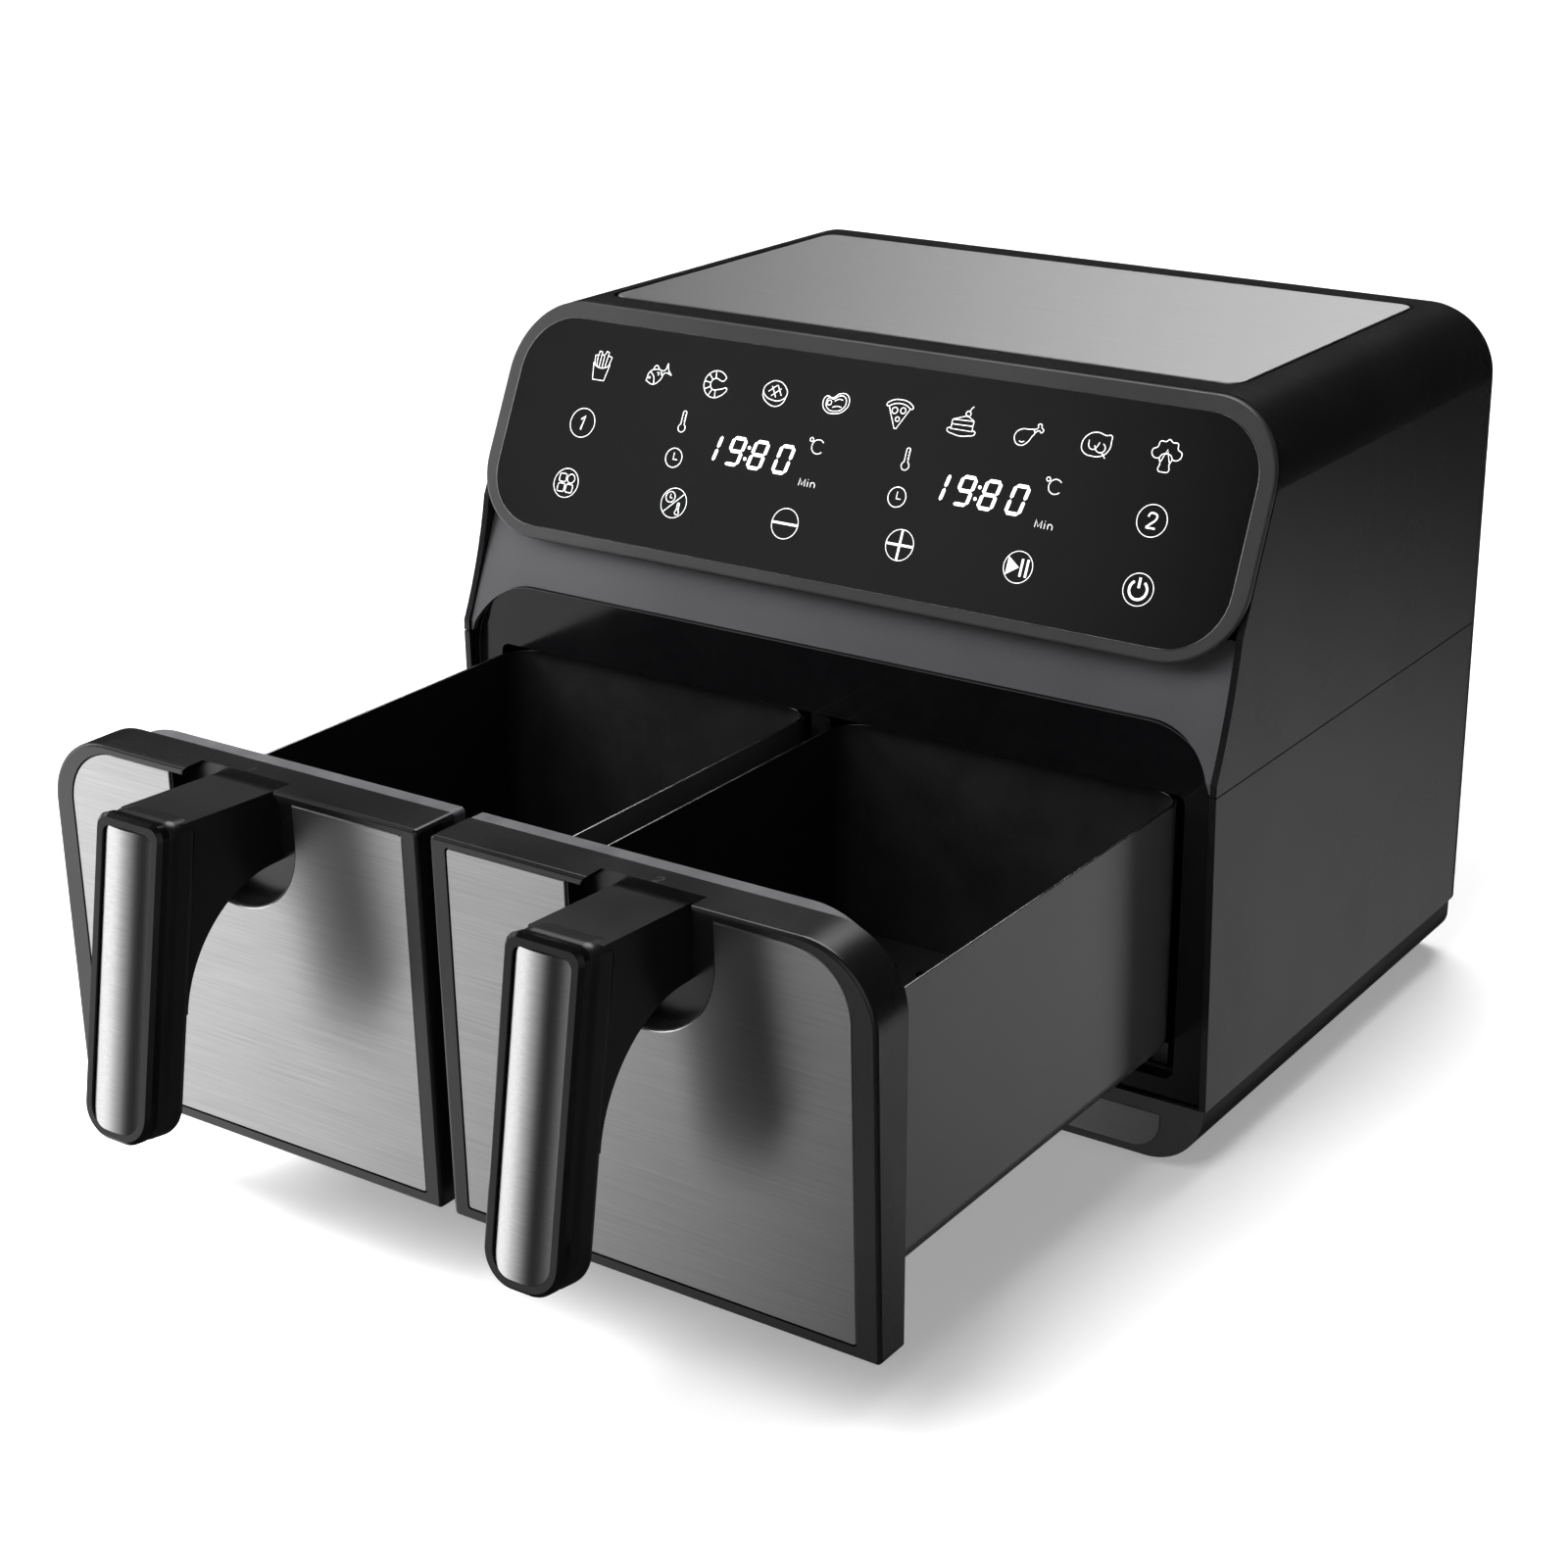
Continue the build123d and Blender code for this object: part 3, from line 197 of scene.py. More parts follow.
HAIRLINE = 0.45 * MM    # real brushing is about 0.1 mm, drawn wider so that it shows
STROKE = 45 * MM        # how long one brushed scratch runs


def brushed_stainless(name, spread, dark="#adadae", light="#c0c0c0"):
    """Stainless sheet brushed along its width: hairlines, and lights drawn out across them.

    spread is the direction across the hairlines.
    """
    material, tree = blank(name)
    place = add(tree, "ShaderNodeTexCoord").outputs["Object"]
    combed = add(tree, "ShaderNodeMapping", {},
                 {"Vector": place, "Scale": (1 / STROKE, 1 / HAIRLINE, 1 / HAIRLINE)})
    hairs = add(tree, "ShaderNodeTexNoise", {},
                {"Vector": combed.outputs["Vector"], "Scale": 1.0, "Detail": 4.0, "Roughness": 0.7})
    share = add(tree, "ShaderNodeMapRange", {},
                {"Value": hairs.outputs["Fac"], "From Min": 0.3, "From Max": 0.7})
    colour = add(tree, "ShaderNodeMix", {"data_type": "RGBA"},
                 {0: share.outputs["Result"], 6: linear(dark), 7: linear(light)})
    gloss = add(tree, "ShaderNodeMapRange", {},
                {"Value": hairs.outputs["Fac"], "From Min": 0.3, "From Max": 0.7,
                 "To Min": 0.35, "To Max": 0.29})
    relief = add(tree, "ShaderNodeBump", {}, {"Distance": 0.002 * MM, "Height": hairs.outputs["Fac"]})
    across = add(tree, "ShaderNodeCombineXYZ", {}, {"X": spread[0], "Y": spread[1], "Z": spread[2]})
    return finish(material, tree, {
        "Base Color": colour.outputs[2], "Roughness": gloss.outputs["Result"], "Metallic": 1.0,
        "Anisotropic": 0.85, "Normal": relief.outputs["Normal"], "Tangent": across.outputs["Vector"]})


def aluminised_sheet():
    """Pressed aluminised steel of the cooking chambers: dull, spangled and slightly heat-stained."""
    material, tree = blank("aluminised_sheet")
    face = skin(tree, "#4c4a47", "#6d6b68", 4 * MM, 0.02 * MM, 0.45, 0.08, cloud=30 * MM)
    return finish(material, tree, {**face, "Metallic": 0.9})


def tubular_element():
    """Nickel-alloy sheath of the heaters, blued and browned by heat."""
    material, tree = blank("tubular_element")
    face = skin(tree, "#3b3430", "#5c5551", 3 * MM, 0.02 * MM, 0.42, 0.08, cloud=20 * MM)
    return finish(material, tree, {**face, "Metallic": 1.0})


def plated_wire():
    """Chrome-plated wire and pressings: bright, with a slightly uneven plate."""
    material, tree = blank("plated_wire")
    face = skin(tree, "#8f8f90", "#b4b4b5", 2 * MM, 0.01 * MM, 0.22, 0.05, cloud=10 * MM)
    return finish(material, tree, {**face, "Metallic": 1.0})


def zinc_screw():
    """Zinc-plated screw heads: grey with a soft metallic gleam."""
    material, tree = blank("zinc_screw")
    face = skin(tree, "#7b7c7e", "#a2a3a5", 0.5 * MM, 0.02 * MM, 0.35, 0.06, cloud=3 * MM)
    return finish(material, tree, {**face, "Metallic": 1.0})


def motor_lamination():
    """Stacked motor laminations and wound coil: dark grey iron with a fine layered edge."""
    material, tree = blank("motor_lamination")
    place = add(tree, "ShaderNodeTexCoord").outputs["Object"]
    layers = add(tree, "ShaderNodeTexWave", {"bands_direction": "Z"},
                 {"Vector": place, "Scale": 1 / (6 * MM), "Distortion": 0.3})
    face = skin(tree, "#4a4643", "#6f6b67", 1.5 * MM, 0.02 * MM, 0.5, 0.08, cloud=10 * MM)
    ridges = add(tree, "ShaderNodeBump", {},
                 {"Distance": 0.05 * MM, "Height": layers.outputs["Fac"], "Normal": face["Normal"]})
    return finish(material, tree, {**face, "Normal": ridges.outputs["Normal"], "Metallic": 0.8})


def ground_shaft():
    """Centreless-ground steel shaft: bright, ringed by fine grinding marks."""
    material, tree = blank("ground_shaft")
    face = skin(tree, "#8a8a8c", "#a9a9ab", 0.6 * MM, 0.01 * MM, 0.25, 0.05, cloud=4 * MM)
    return finish(material, tree, {**face, "Metallic": 1.0})


def pressed_aluminium():
    """Pressed aluminium fan wheels: pale and satin, with rolling marks."""
    material, tree = blank("pressed_aluminium")
    face = skin(tree, "#9a9b9c", "#bbbcbd", 1.5 * MM, 0.02 * MM, 0.36, 0.06, cloud=12 * MM)
    return finish(material, tree, {**face, "Metallic": 1.0})


def glass_fibre_board():
    """Green solder mask over glass cloth: its weave shows as a fine even grid."""
    material, tree = blank("glass_fibre_board")
    place = add(tree, "ShaderNodeTexCoord").outputs["Object"]
    warp = add(tree, "ShaderNodeTexWave", {"bands_direction": "X"}, {"Vector": place, "Scale": 1 / (5 * MM)})
    weft = add(tree, "ShaderNodeTexWave", {"bands_direction": "Z"}, {"Vector": place, "Scale": 1 / (5 * MM)})
    cloth = add(tree, "ShaderNodeMath", {"operation": "MULTIPLY"},
                {0: warp.outputs["Fac"], 1: weft.outputs["Fac"]})
    colour = add(tree, "ShaderNodeMix", {"data_type": "RGBA"},
                 {0: cloth.outputs[0], 6: linear("#0e3a1e"), 7: linear("#1b5a32")})
    relief = add(tree, "ShaderNodeBump", {}, {"Distance": 0.02 * MM, "Height": cloth.outputs[0]})
    return finish(material, tree, {"Base Color": colour.outputs[2], "Normal": relief.outputs["Normal"],
                                   "Roughness": 0.35, "IOR": 1.55})


def coated_pan(name, node):
    """Pressed steel pan: satin grey paint outside and at the rim, black non-stick inside."""
    material, tree = blank(name)
    low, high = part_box(node)
    middle = [(a + b) / 2 for a, b in zip(low, high)]
    place = add(tree, "ShaderNodeTexCoord")
    outward = add(tree, "ShaderNodeVectorMath", {"operation": "SUBTRACT"},
                  {0: place.outputs["Object"], 1: middle})
    facing = add(tree, "ShaderNodeVectorMath", {"operation": "DOT_PRODUCT"},
                 {0: outward.outputs[0], 1: place.outputs["Normal"]})
    inside = add(tree, "ShaderNodeMath", {"operation": "LESS_THAN"}, {0: facing.outputs["Value"], 1: 0.0})
    paint = skin(tree, "#727273", "#7a7a7b", 0.9 * MM, 0.010 * MM, 0.36, 0.01)
    lining = skin(tree, "#101010", "#1a1a1a", 1.1 * MM, 0.02 * MM, 0.42, 0.04, cloud=20 * MM)
    colour = add(tree, "ShaderNodeMix", {"data_type": "RGBA"},
                 {0: inside.outputs[0], 6: paint["Base Color"], 7: lining["Base Color"]})
    gloss = add(tree, "ShaderNodeMix", {},
                {0: inside.outputs[0], 2: paint["Roughness"], 3: lining["Roughness"]})
    metal = add(tree, "ShaderNodeMapRange", {}, {"Value": inside.outputs[0], "To Min": 0.85, "To Max": 0.0})
    return finish(material, tree, {
        "Base Color": colour.outputs[2], "Roughness": gloss.outputs[0], "Metallic": metal.outputs["Result"],
        "Normal": paint["Normal"]})


def nonstick_plate():
    """Crisper plates in black fluoropolymer: satin, with a faint metallic fleck."""
    material, tree = blank("nonstick_plate")
    face = skin(tree, "#111111", "#1d1d1d", 1.0 * MM, 0.02 * MM, 0.38, 0.04, cloud=20 * MM)
    return finish(material, tree, {**face, "IOR": 1.38, "Specular IOR Level": 0.6})


def lit_print(name, strength):
    """Marks lit from behind the glass: white, a little uneven along each line."""
    material, tree = blank(name)
    place = add(tree, "ShaderNodeTexCoord").outputs["Object"]
    drift = add(tree, "ShaderNodeTexNoise", {}, {"Vector": place, "Scale": 1 / (5 * MM), "Detail": 1.0})
    colour = add(tree, "ShaderNodeMix", {"data_type": "RGBA"},
                 {0: drift.outputs["Fac"], 6: linear("#e2e2e2"), 7: linear("#ffffff")})
    return finish(material, tree, {"Base Color": colour.outputs[2], "Emission Color": colour.outputs[2],
                                   "Emission Strength": strength, "Roughness": 0.4})


def dress(material, *nodes):
    """Gives CAD nodes a material."""
    for node in nodes:
        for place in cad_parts[node].material_slots:
            place.material = material


def both(*stems):
    """The left and right node names of each stem."""
    return [f"{stem}_{side}" for stem in stems for side in SIDES]


upright_steel = brushed_stainless("brushed_stainless_upright", (0, 0, 1))
dress(satin_black_abs(), "upper_shell", "lower_shell")
dress(textured_black_abs(), "base_tray")
dress(polished_black_abs(), "drawer_arch", "divider_post", *both("handle_trim"))
charcoal = charcoal_abs()
dress(charcoal, "control_bezel")
# the cove's lighter grey is painted light, not a different plastic
dress(cove_abs_painted_light(), "cove_panel")
dress(semi_gloss_black_abs(), *both("drawer_front"))
dress(handle_plastic(), *both("handle"))
dress(grey_nylon(), *both("back_cover"))
dress(black_nylon(), "slide_rails", "drawer_sensors", "rear_vent_cover", "cord_gland", "temperature_probes")
dress(display_block(), "display_modules")
dress(silicone_rubber(), *(f"foot_{i}" for i in range(1, 5)), *both("crisper_bumpers"))
dress(printed_glass(), "touch_glass")
dress(upright_steel, "base_trim_strip", *both("steel_face", "handle_face"))
dress(brushed_stainless("brushed_stainless_flat", (0, 1, 0)), "top_plate")
dress(aluminised_sheet(), *both("chamber"))
dress(tubular_element(), *both("heater"))
plated = plated_wire()
dress(plated, "thermal_cutouts", *both("heater_guard"))
dress(zinc_screw(), "housing_screws", *both("handle_screws"))
dress(motor_lamination(), *both("motor"))
dress(ground_shaft(), *both("motor_shaft"))
dress(pressed_aluminium(), *both("hot_fan", "cooling_fan"))
dress(glass_fibre_board(), "control_board", "power_board")
dress(nonstick_plate(), *both("crisper_plate"))
for side in SIDES:
    dress(coated_pan(f"coated_pan_{side}", f"pan_{side}"), f"pan_{side}")


# ---------------------------------------------------------------- panel marks

PANEL_TILT = math.radians(24.8)
PANEL_UP = Vector((0, math.sin(PANEL_TILT), math.cos(PANEL_TILT)))
PANEL_OUT = Vector((0, -math.cos(PANEL_TILT), math.sin(PANEL_TILT)))
glass_points = [v.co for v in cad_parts["touch_glass"].data.vertices]
glass_heights = [PANEL_UP.dot(p) for p in glass_points]
# the middle of the glass face's lower edge
GLASS_FOOT = PANEL_OUT * max(PANEL_OUT.dot(p) for p in glass_points) + PANEL_UP * min(glass_heights)
FLAT = 0.2              # marks are a fifth as thick as they are wide

# how wide the marks' lines are
LINE = 0.4 * MM
FINE_LINE = 0.32 * MM
NUMBER_LINE = 0.8 * MM
BOLD = 1.1 * MM

# rows up the glass and places across it, in millimetres
BUTTON = 6.8            # radius of a button's ring
ICON_PITCH = 32.1
ICON_SHIFT = 1.2        # the row of foods stands a little right of the middle
ICON_ROW = 78.3
NUMBER_ROW = 51.0
BUTTON_ROW = 22.3
START_AT = 91
TRIANGLE_THICK = 0.1 * MM

panel_print = lit_print("backlit_marks", 0.75)
digit_glow = lit_print("display_digits", 1.6)


def panel_place(u, v):
    """The frame of a mark at u across and v up the glass, in millimetres, laid flat on it."""
    at = GLASS_FOOT + Vector((u * MM, 0, 0)) + PANEL_UP * v * MM
    turn = Matrix((Vector((1, 0, 0)), PANEL_UP, PANEL_OUT)).transposed().to_4x4()
    return Matrix.Translation(at) @ turn


def arc(x, y, radius, start=0, end=360, steps=28):
    """Points of an arc, angles in degrees."""
    turns = [math.radians(start + (end - start) * i / steps) for i in range(steps + 1)]
    return [(x + radius * math.cos(t), y + radius * math.sin(t)) for t in turns]


def rounded(x0, x1, y0, y1, corner, steps=4):
    """Outline of a rectangle with rounded corners, as one closed line."""
    middles = ((x1 - corner, y1 - corner), (x0 + corner, y1 - corner),
               (x0 + corner, y0 + corner), (x1 - corner, y0 + corner))
    points = []
    for quarter, (x, y) in enumerate(middles):
        points += arc(x, y, corner, 90 * quarter, 90 * quarter + 90, steps)
    return points + points[:1]


def drawn(name, strokes, place, width, material, body="housing", flat=FLAT):
    """A mark drawn in strokes of one width. A stroke is its way of joining and its points in mm.

    'line' joins points straight, 'soft' curves through them and 'loop' closes a soft stroke. flat
    is the mark's thickness as a share of its width.
    """
    curve = bpy.data.curves.new(name, "CURVE")
    curve.dimensions = "3D"
    curve.bevel_depth = width / 2
    curve.bevel_resolution = 1
    curve.resolution_u = 6
    curve.use_fill_caps = True
    for way, points in strokes:
        if way == "line":
            spline = curve.splines.new("POLY")
            spline.points.add(len(points) - 1)
            for knot, (x, y) in zip(spline.points, points):
                knot.co = (x * MM, y * MM, 0, 1)
        else:
            spline = curve.splines.new("BEZIER")
            spline.bezier_points.add(len(points) - 1)
            for knot, (x, y) in zip(spline.bezier_points, points):
                knot.co = (x * MM, y * MM, 0)
                knot.handle_left_type = knot.handle_right_type = "AUTO"
            spline.use_cyclic_u = way == "loop"
    curve.materials.append(material)
    mark = bpy.data.objects.new(name, curve)
    bpy.context.collection.objects.link(mark)
    mark.matrix_world = place @ Matrix.Diagonal((1, 1, flat, 1))
    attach(mark, body)


def cut_out(name, outlines, place, thickness, material):
    """Flat shapes of one thickness on the glass, from outlines in mm."""
    mesh = bpy.data.meshes.new(name)
    build = bmesh.new()
    for outline in outlines:
        rings = [[build.verts.new((x * MM, y * MM, z)) for x, y in outline] for z in (0, thickness)]
        build.faces.new(rings[0][::-1])
        build.faces.new(rings[1])
        for i in range(len(outline)):
            j = (i + 1) % len(outline)
            build.faces.new((rings[0][i], rings[0][j], rings[1][j], rings[1][i]))
    bmesh.ops.recalc_face_normals(build, faces=build.faces)
    build.to_mesh(mesh)
    build.free()
    mesh.materials.append(material)
    shape = bpy.data.objects.new(name, mesh)
    bpy.context.collection.objects.link(shape)
    shape.matrix_world = place
    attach(shape, "housing")


def turned(strokes, angle):
    """Strokes turned about their middle, in degrees."""
    c, s = math.cos(math.radians(angle)), math.sin(math.radians(angle))
    return [(way, [(x * c - y * s, x * s + y * c) for x, y in points]) for way, points in strokes]


def shifted(strokes, dx, dy, scale=1.0):
    """Strokes made smaller or larger and moved."""
    return [(way, [(x * scale + dx, y * scale + dy) for x, y in points]) for way, points in strokes]


FRIES = [
    ("line", [(-4.6, 1.2), (-3.2, -6.6), (3.2, -6.6), (4.6, 1.2)]),
    ("soft", [(-4.6, 1.2), (-2.5, -0.4), (0, -0.9), (2.5, -0.4), (4.6, 1.2)]),
    ("line", [(-4.0, 1.0), (-4.6, 4.6), (-3.2, 4.9), (-2.6, -0.2)]),
    ("line", [(-2.9, 4.4), (-2.7, 6.8), (-1.2, 6.6), (-1.2, -0.6)]),
    ("line", [(-0.9, 5.0), (-0.2, 5.4), (0.5, 5.0), (0.5, -0.6)]),
    ("line", [(0.8, 5.6), (1.4, 7.2), (2.7, 6.7), (2.0, -0.4)]),
    ("line", [(2.7, 5.2), (4.9, 4.7), (4.1, 1.0)]),
]
FISH = turned([
    ("soft", [(-6.6, 0), (-3.4, 3.2), (0.8, 2.6), (3.9, 0.6), (6.8, 3.0)]),
    ("soft", [(6.8, 3.0), (6.1, 0), (6.8, -3.0)]),
    ("soft", [(6.8, -3.0), (3.9, -0.6), (0.8, -2.6), (-3.4, -3.2), (-6.6, 0)]),
    ("soft", [(-3.2, 3.1), (-2.2, 0), (-3.2, -3.1)]),
    ("soft", [(-1.8, 3.2), (0.6, 4.6), (1.6, 2.2)]),
    ("soft", [(0.0, 1.3), (0.8, 0.6), (0.0, -0.2)]),
    ("soft", [(1.6, 0.7), (2.3, 0.0), (1.6, -0.8)]),
    ("line", arc(-4.5, 0.7, 0.4, steps=10)),
], 30)
PRAWN = [
    ("line", arc(0, 0, 6.2, 35, 300)),
    ("line", arc(0, 0, 2.7, 50, 290)),
    ("soft", [(5.1, 3.5), (3.8, 1.9), (1.7, 2.1)]),
    ("soft", [(3.1, -5.4), (5.4, -3.6), (6.4, -1.2), (3.6, -1.8), (0.9, -2.5)]),
] + [
    ("line", [arc(0, 0, 2.7, a, a, 1)[0], arc(0, 0, 6.2, a, a, 1)[0]]) for a in range(100, 290, 36)
]
PATTY = [
    ("loop", [(-6.3, 1.2), (-3.6, 4.8), (0.4, 5.8), (4.6, 3.8), (6.3, 0.4), (3.6, -2.6), (-1.0, -2.9),
              (-4.8, -1.4)]),
    ("soft", [(-6.3, 1.0), (-5.9, -1.8), (-2.4, -4.8), (1.6, -5.6), (5.0, -3.6), (6.3, 0.2)]),
    ("line", [(-3.6, 0.6), (0.2, 3.8)]),
    ("line", [(-1.8, -1.2), (2.8, 2.6)]),
    ("line", [(-2.2, 3.2), (0.8, -1.6)]),
    ("line", [(0.6, 4.0), (3.4, -0.4)]),
]
STEAK_EDGE = [
    (-6.6, -0.6), (-5.4, 2.6), (-2.2, 2.2), (1.0, 4.4), (4.8, 4.4), (6.6, 1.0), (4.8, -2.8), (0.4, -4.6),
    (-4.4, -4.0),
]
STEAK = [
    ("loop", STEAK_EDGE),
    *shifted([("loop", STEAK_EDGE)], 0.1, 0, 0.76),
    ("line", arc(-3.3, -0.1, 1.1, steps=14)),
    ("soft", [(-0.8, 0.8), (1.2, 2.0), (3.2, 1.8)]),
    ("soft", [(-1.4, -2.0), (1.0, -1.2), (3.2, -1.4)]),
]
PIZZA = [
    ("soft", [(-6.4, 4.0), (-3.4, 5.6), (0, 6.0), (3.4, 5.6), (6.4, 4.0)]),
    ("soft", [(-6.4, 4.0), (-6.6, 2.8), (-5.6, 2.5)]),
    ("soft", [(6.4, 4.0), (6.6, 2.8), (5.6, 2.5)]),
    ("soft", [(-5.6, 2.5), (-2.8, 3.9), (0, 4.3), (2.8, 3.9), (5.6, 2.5)]),
    ("line", [(-5.4, 2.6), (-0.5, -6.8), (0.5, -6.8), (5.4, 2.6)]),
    ("line", arc(-2.1, 1.0, 1.4, steps=16)),
    ("line", arc(2.0, 1.4, 1.3, steps=16)),
    ("line", arc(0.1, -2.6, 1.0, steps=14)),
]
CAKE = [
    ("line", [(-5.2, -2.9), (-5.2, 1.2), (1.6, 3.6), (5.2, 1.6), (5.2, -2.9), (-5.2, -2.9)]),
    ("line", [(-5.2, 1.2), (5.2, 1.6)]),
    ("line", [(-5.2, -0.8), (5.2, -0.6)]),
    ("soft", [(-5.2, -2.2), (-6.9, -3.4), (-3.8, -5.0), (3.8, -5.0), (6.9, -3.4), (5.2, -2.2)]),
    ("line", arc(1.7, 4.4, 1.2, steps=14)),
    ("soft", [(2.2, 5.5), (2.7, 6.8), (3.6, 7.8)]),
]
DRUMSTICK = turned([
    ("loop", [(-6.9, 0), (-5.4, 2.9), (-2.2, 3.3), (1.2, 1.6), (2.6, 0.9), (2.6, -0.9), (1.2, -1.6),
              (-2.2, -3.3), (-5.4, -2.9)]),
    ("soft", [(2.6, 0.8), (4.9, 0.7), (5.4, 1.9), (6.8, 1.4), (6.4, 0), (6.8, -1.4), (5.4, -1.9),
              (4.9, -0.7), (2.6, -0.8)]),
    ("soft", [(-5.0, -1.0), (-4.2, -1.9), (-2.9, -2.1)]),
], 32)
ROAST = [
    ("loop", [(-6.8, -0.8), (-5.0, 3.4), (-0.8, 5.2), (3.6, 4.4), (6.0, 4.6), (6.4, 2.4), (6.2, -1.2),
              (3.6, -4.2), (-1.0, -5.0), (-5.4, -3.8)]),
    ("soft", [(-3.8, 1.6), (-3.2, -1.4), (-1.2, -2.2), (0.4, -0.8), (1.2, 1.2)]),
    ("soft", [(-0.8, -0.4), (0.8, -2.8), (3.6, -2.6), (4.2, -0.6), (3.0, 0.8)]),
    ("line", [(3.4, -3.2), (5.0, -5.2)]),
]
BROCCOLI = [
    ("loop", [(-3.4, -1.4), (-6.0, -0.8), (-6.6, 1.8), (-4.6, 3.2), (-3.9, 5.6), (-1.4, 5.8), (0, 6.8),
              (1.6, 5.8), (4.0, 5.6), (4.6, 3.2), (6.6, 1.8), (6.0, -0.8), (3.4, -1.4), (1.8, 0.4),
              (-1.8, 0.4)]),
    ("soft", [(-3.0, -1.4), (-2.1, -3.4), (-2.3, -6.4), (0, -6.9), (2.3, -6.4), (2.1, -3.4), (3.0, -1.4)]),
    ("line", [(-1.9, -2.6), (0, 2.6), (1.9, -2.6)]),
]
FOODS = {
    "fries": FRIES, "fish": FISH, "prawn": PRAWN, "patty": PATTY, "steak": STEAK,
    "pizza": PIZZA, "cake": CAKE, "drumstick": DRUMSTICK, "roast": ROAST, "broccoli": BROCCOLI,
}
for i, (food, strokes) in enumerate(FOODS.items()):
    middle = ICON_PITCH * (i - (len(FOODS) - 1) / 2) + ICON_SHIFT
    drawn(f"icon_{food}", strokes, panel_place(middle, ICON_ROW), LINE, panel_print)

CIRCLE = [("line", arc(0, 0, BUTTON, steps=48))]
THERMOMETER = [
    ("line", arc(0, -3.1, 1.9, 118, 422, 20) + arc(0, 3.9, 0.9, 0, 180, 10) + [(-0.9, -1.4)]),
    *(("line", [(0.3, notch), (0.9, notch)]) for notch in (3.0, 1.6, 0.2)),
]
CLOCK = [("line", arc(0, 0, 4.4, steps=36)), ("line", [(-0.2, 2.4), (-0.2, -0.7), (2.0, -0.7)])]


GRID = [
    ("line", rounded(x - 1.9, x + 1.9, y - 1.9, y + 1.9, 0.8))
    for x, y in ((-2.3, 2.3), (-2.3, -2.3), (2.3, -2.3))
] + [("line", arc(2.3, 2.3, 2.1, steps=20))]
ONE = [("line", [(-1.1, 1.5), (0.9, 3.2), (-0.3, -3.2)])]
TWO = [
    ("soft", [(-1.9, 1.5), (-1.3, 2.9), (0.3, 3.2), (1.9, 2.3), (1.6, 0.6), (-0.4, -1.4), (-2.1, -3.1)]),
    ("line", [(-2.1, -3.1), (2.0, -3.1)]),
]
TIME_AND_HEAT = [
    ("line", [(-4.8, -4.8), (4.8, 4.8)]),
    *shifted(CLOCK, -2.4, 2.5, 0.56),
    *shifted(THERMOMETER, 2.7, -2.3, 0.56),
]
POWER = [("line", arc(0, -0.2, 4.0, 125, 415, 30)), ("line", [(0, 0.6), (0, 5.0)])]
MINUS = [("line", [(-BUTTON, 0), (BUTTON, 0)])]
PLUS = MINUS + [("line", [(0, -BUTTON), (0, BUTTON)])]
PAUSE = [("line", [(x, -3.8), (x, 3.8)]) for x in (1.6, 4.2)]
TRIANGLE = [(-5.2, -3.9), (0.4, 0), (-5.2, 3.9)]
BUTTONS = {
    # across and up the glass, what is drawn and how wide its lines are
    "grid": (-147, BUTTON_ROW, GRID, LINE),
    "time_and_heat": (-86, BUTTON_ROW, TIME_AND_HEAT, LINE),
    "minus": (-26, BUTTON_ROW, MINUS, BOLD),
    "plus": (33, BUTTON_ROW, PLUS, BOLD),
    "start_pause": (START_AT, BUTTON_ROW, PAUSE, BOLD),
    "power": (147, BUTTON_ROW, POWER, BOLD),
    "drawer_one": (-146, NUMBER_ROW, ONE, NUMBER_LINE),
    "drawer_two": (146, NUMBER_ROW, TWO, NUMBER_LINE),
}
for button, (u, v, strokes, width) in BUTTONS.items():
    drawn(f"button_ring_{button}", CIRCLE, panel_place(u, v), FINE_LINE, panel_print)
    drawn(f"button_mark_{button}", strokes, panel_place(u, v), width, panel_print)
cut_out("button_mark_start", [TRIANGLE], panel_place(START_AT, BUTTON_ROW), TRIANGLE_THICK, panel_print)


# ---------------------------------------------------------------- displays

DIGIT_WIDE = 8.0
DIGIT_TALL = 13.6
DIGIT_ROW = 50.0
SEGMENT = 1.55          # how thick a lit bar is
SEGMENT_GAP = 0.25
SLANT = math.tan(math.radians(11))
LIT = {"1": "bc", "9": "abcdfg", "8": "abcdefg", "0": "abcdef"}
DIGIT_THICK = 0.12 * MM
DISPLAYS = {1: -51.5, 2: 66.5}                          # middle of each display across the glass
FIGURES = (("1", -21.5), ("9", -8.5), ("8", 3.5), ("0", 17.0))
COLON = ((-1.9, 2.6), (-2.9, -2.6))
COLON_DOT = 0.8


def bar(x0, y0, x1, y1):
    """Outline of one pointed display bar between two corners of a digit."""
    along = Vector((x1 - x0, y1 - y0)).normalized()
    across = Vector((-along.y, along.x)) * SEGMENT / 2
    start = Vector((x0, y0)) + along * SEGMENT_GAP
    end = Vector((x1, y1)) - along * SEGMENT_GAP
    shoulder = along * SEGMENT / 2
    return [start, start + shoulder - across, end - shoulder - across,
            end, end - shoulder + across, start + shoulder + across]


def digit(shape, x):
    """Outlines of one seven-bar digit whose middle is at x, leaning over as the real ones do."""
    w, h = (DIGIT_WIDE - SEGMENT) / 2, (DIGIT_TALL - SEGMENT) / 2
    bars = {"a": (-w, h, w, h), "b": (w, h, w, 0), "c": (w, 0, w, -h), "d": (-w, -h, w, -h),
            "e": (-w, 0, -w, -h), "f": (-w, h, -w, 0), "g": (-w, 0, w, 0)}
    outlines = [bar(*bars[name]) for name in LIT[shape]]
    return [[(x + p.x + SLANT * p.y, p.y) for p in outline] for outline in outlines]


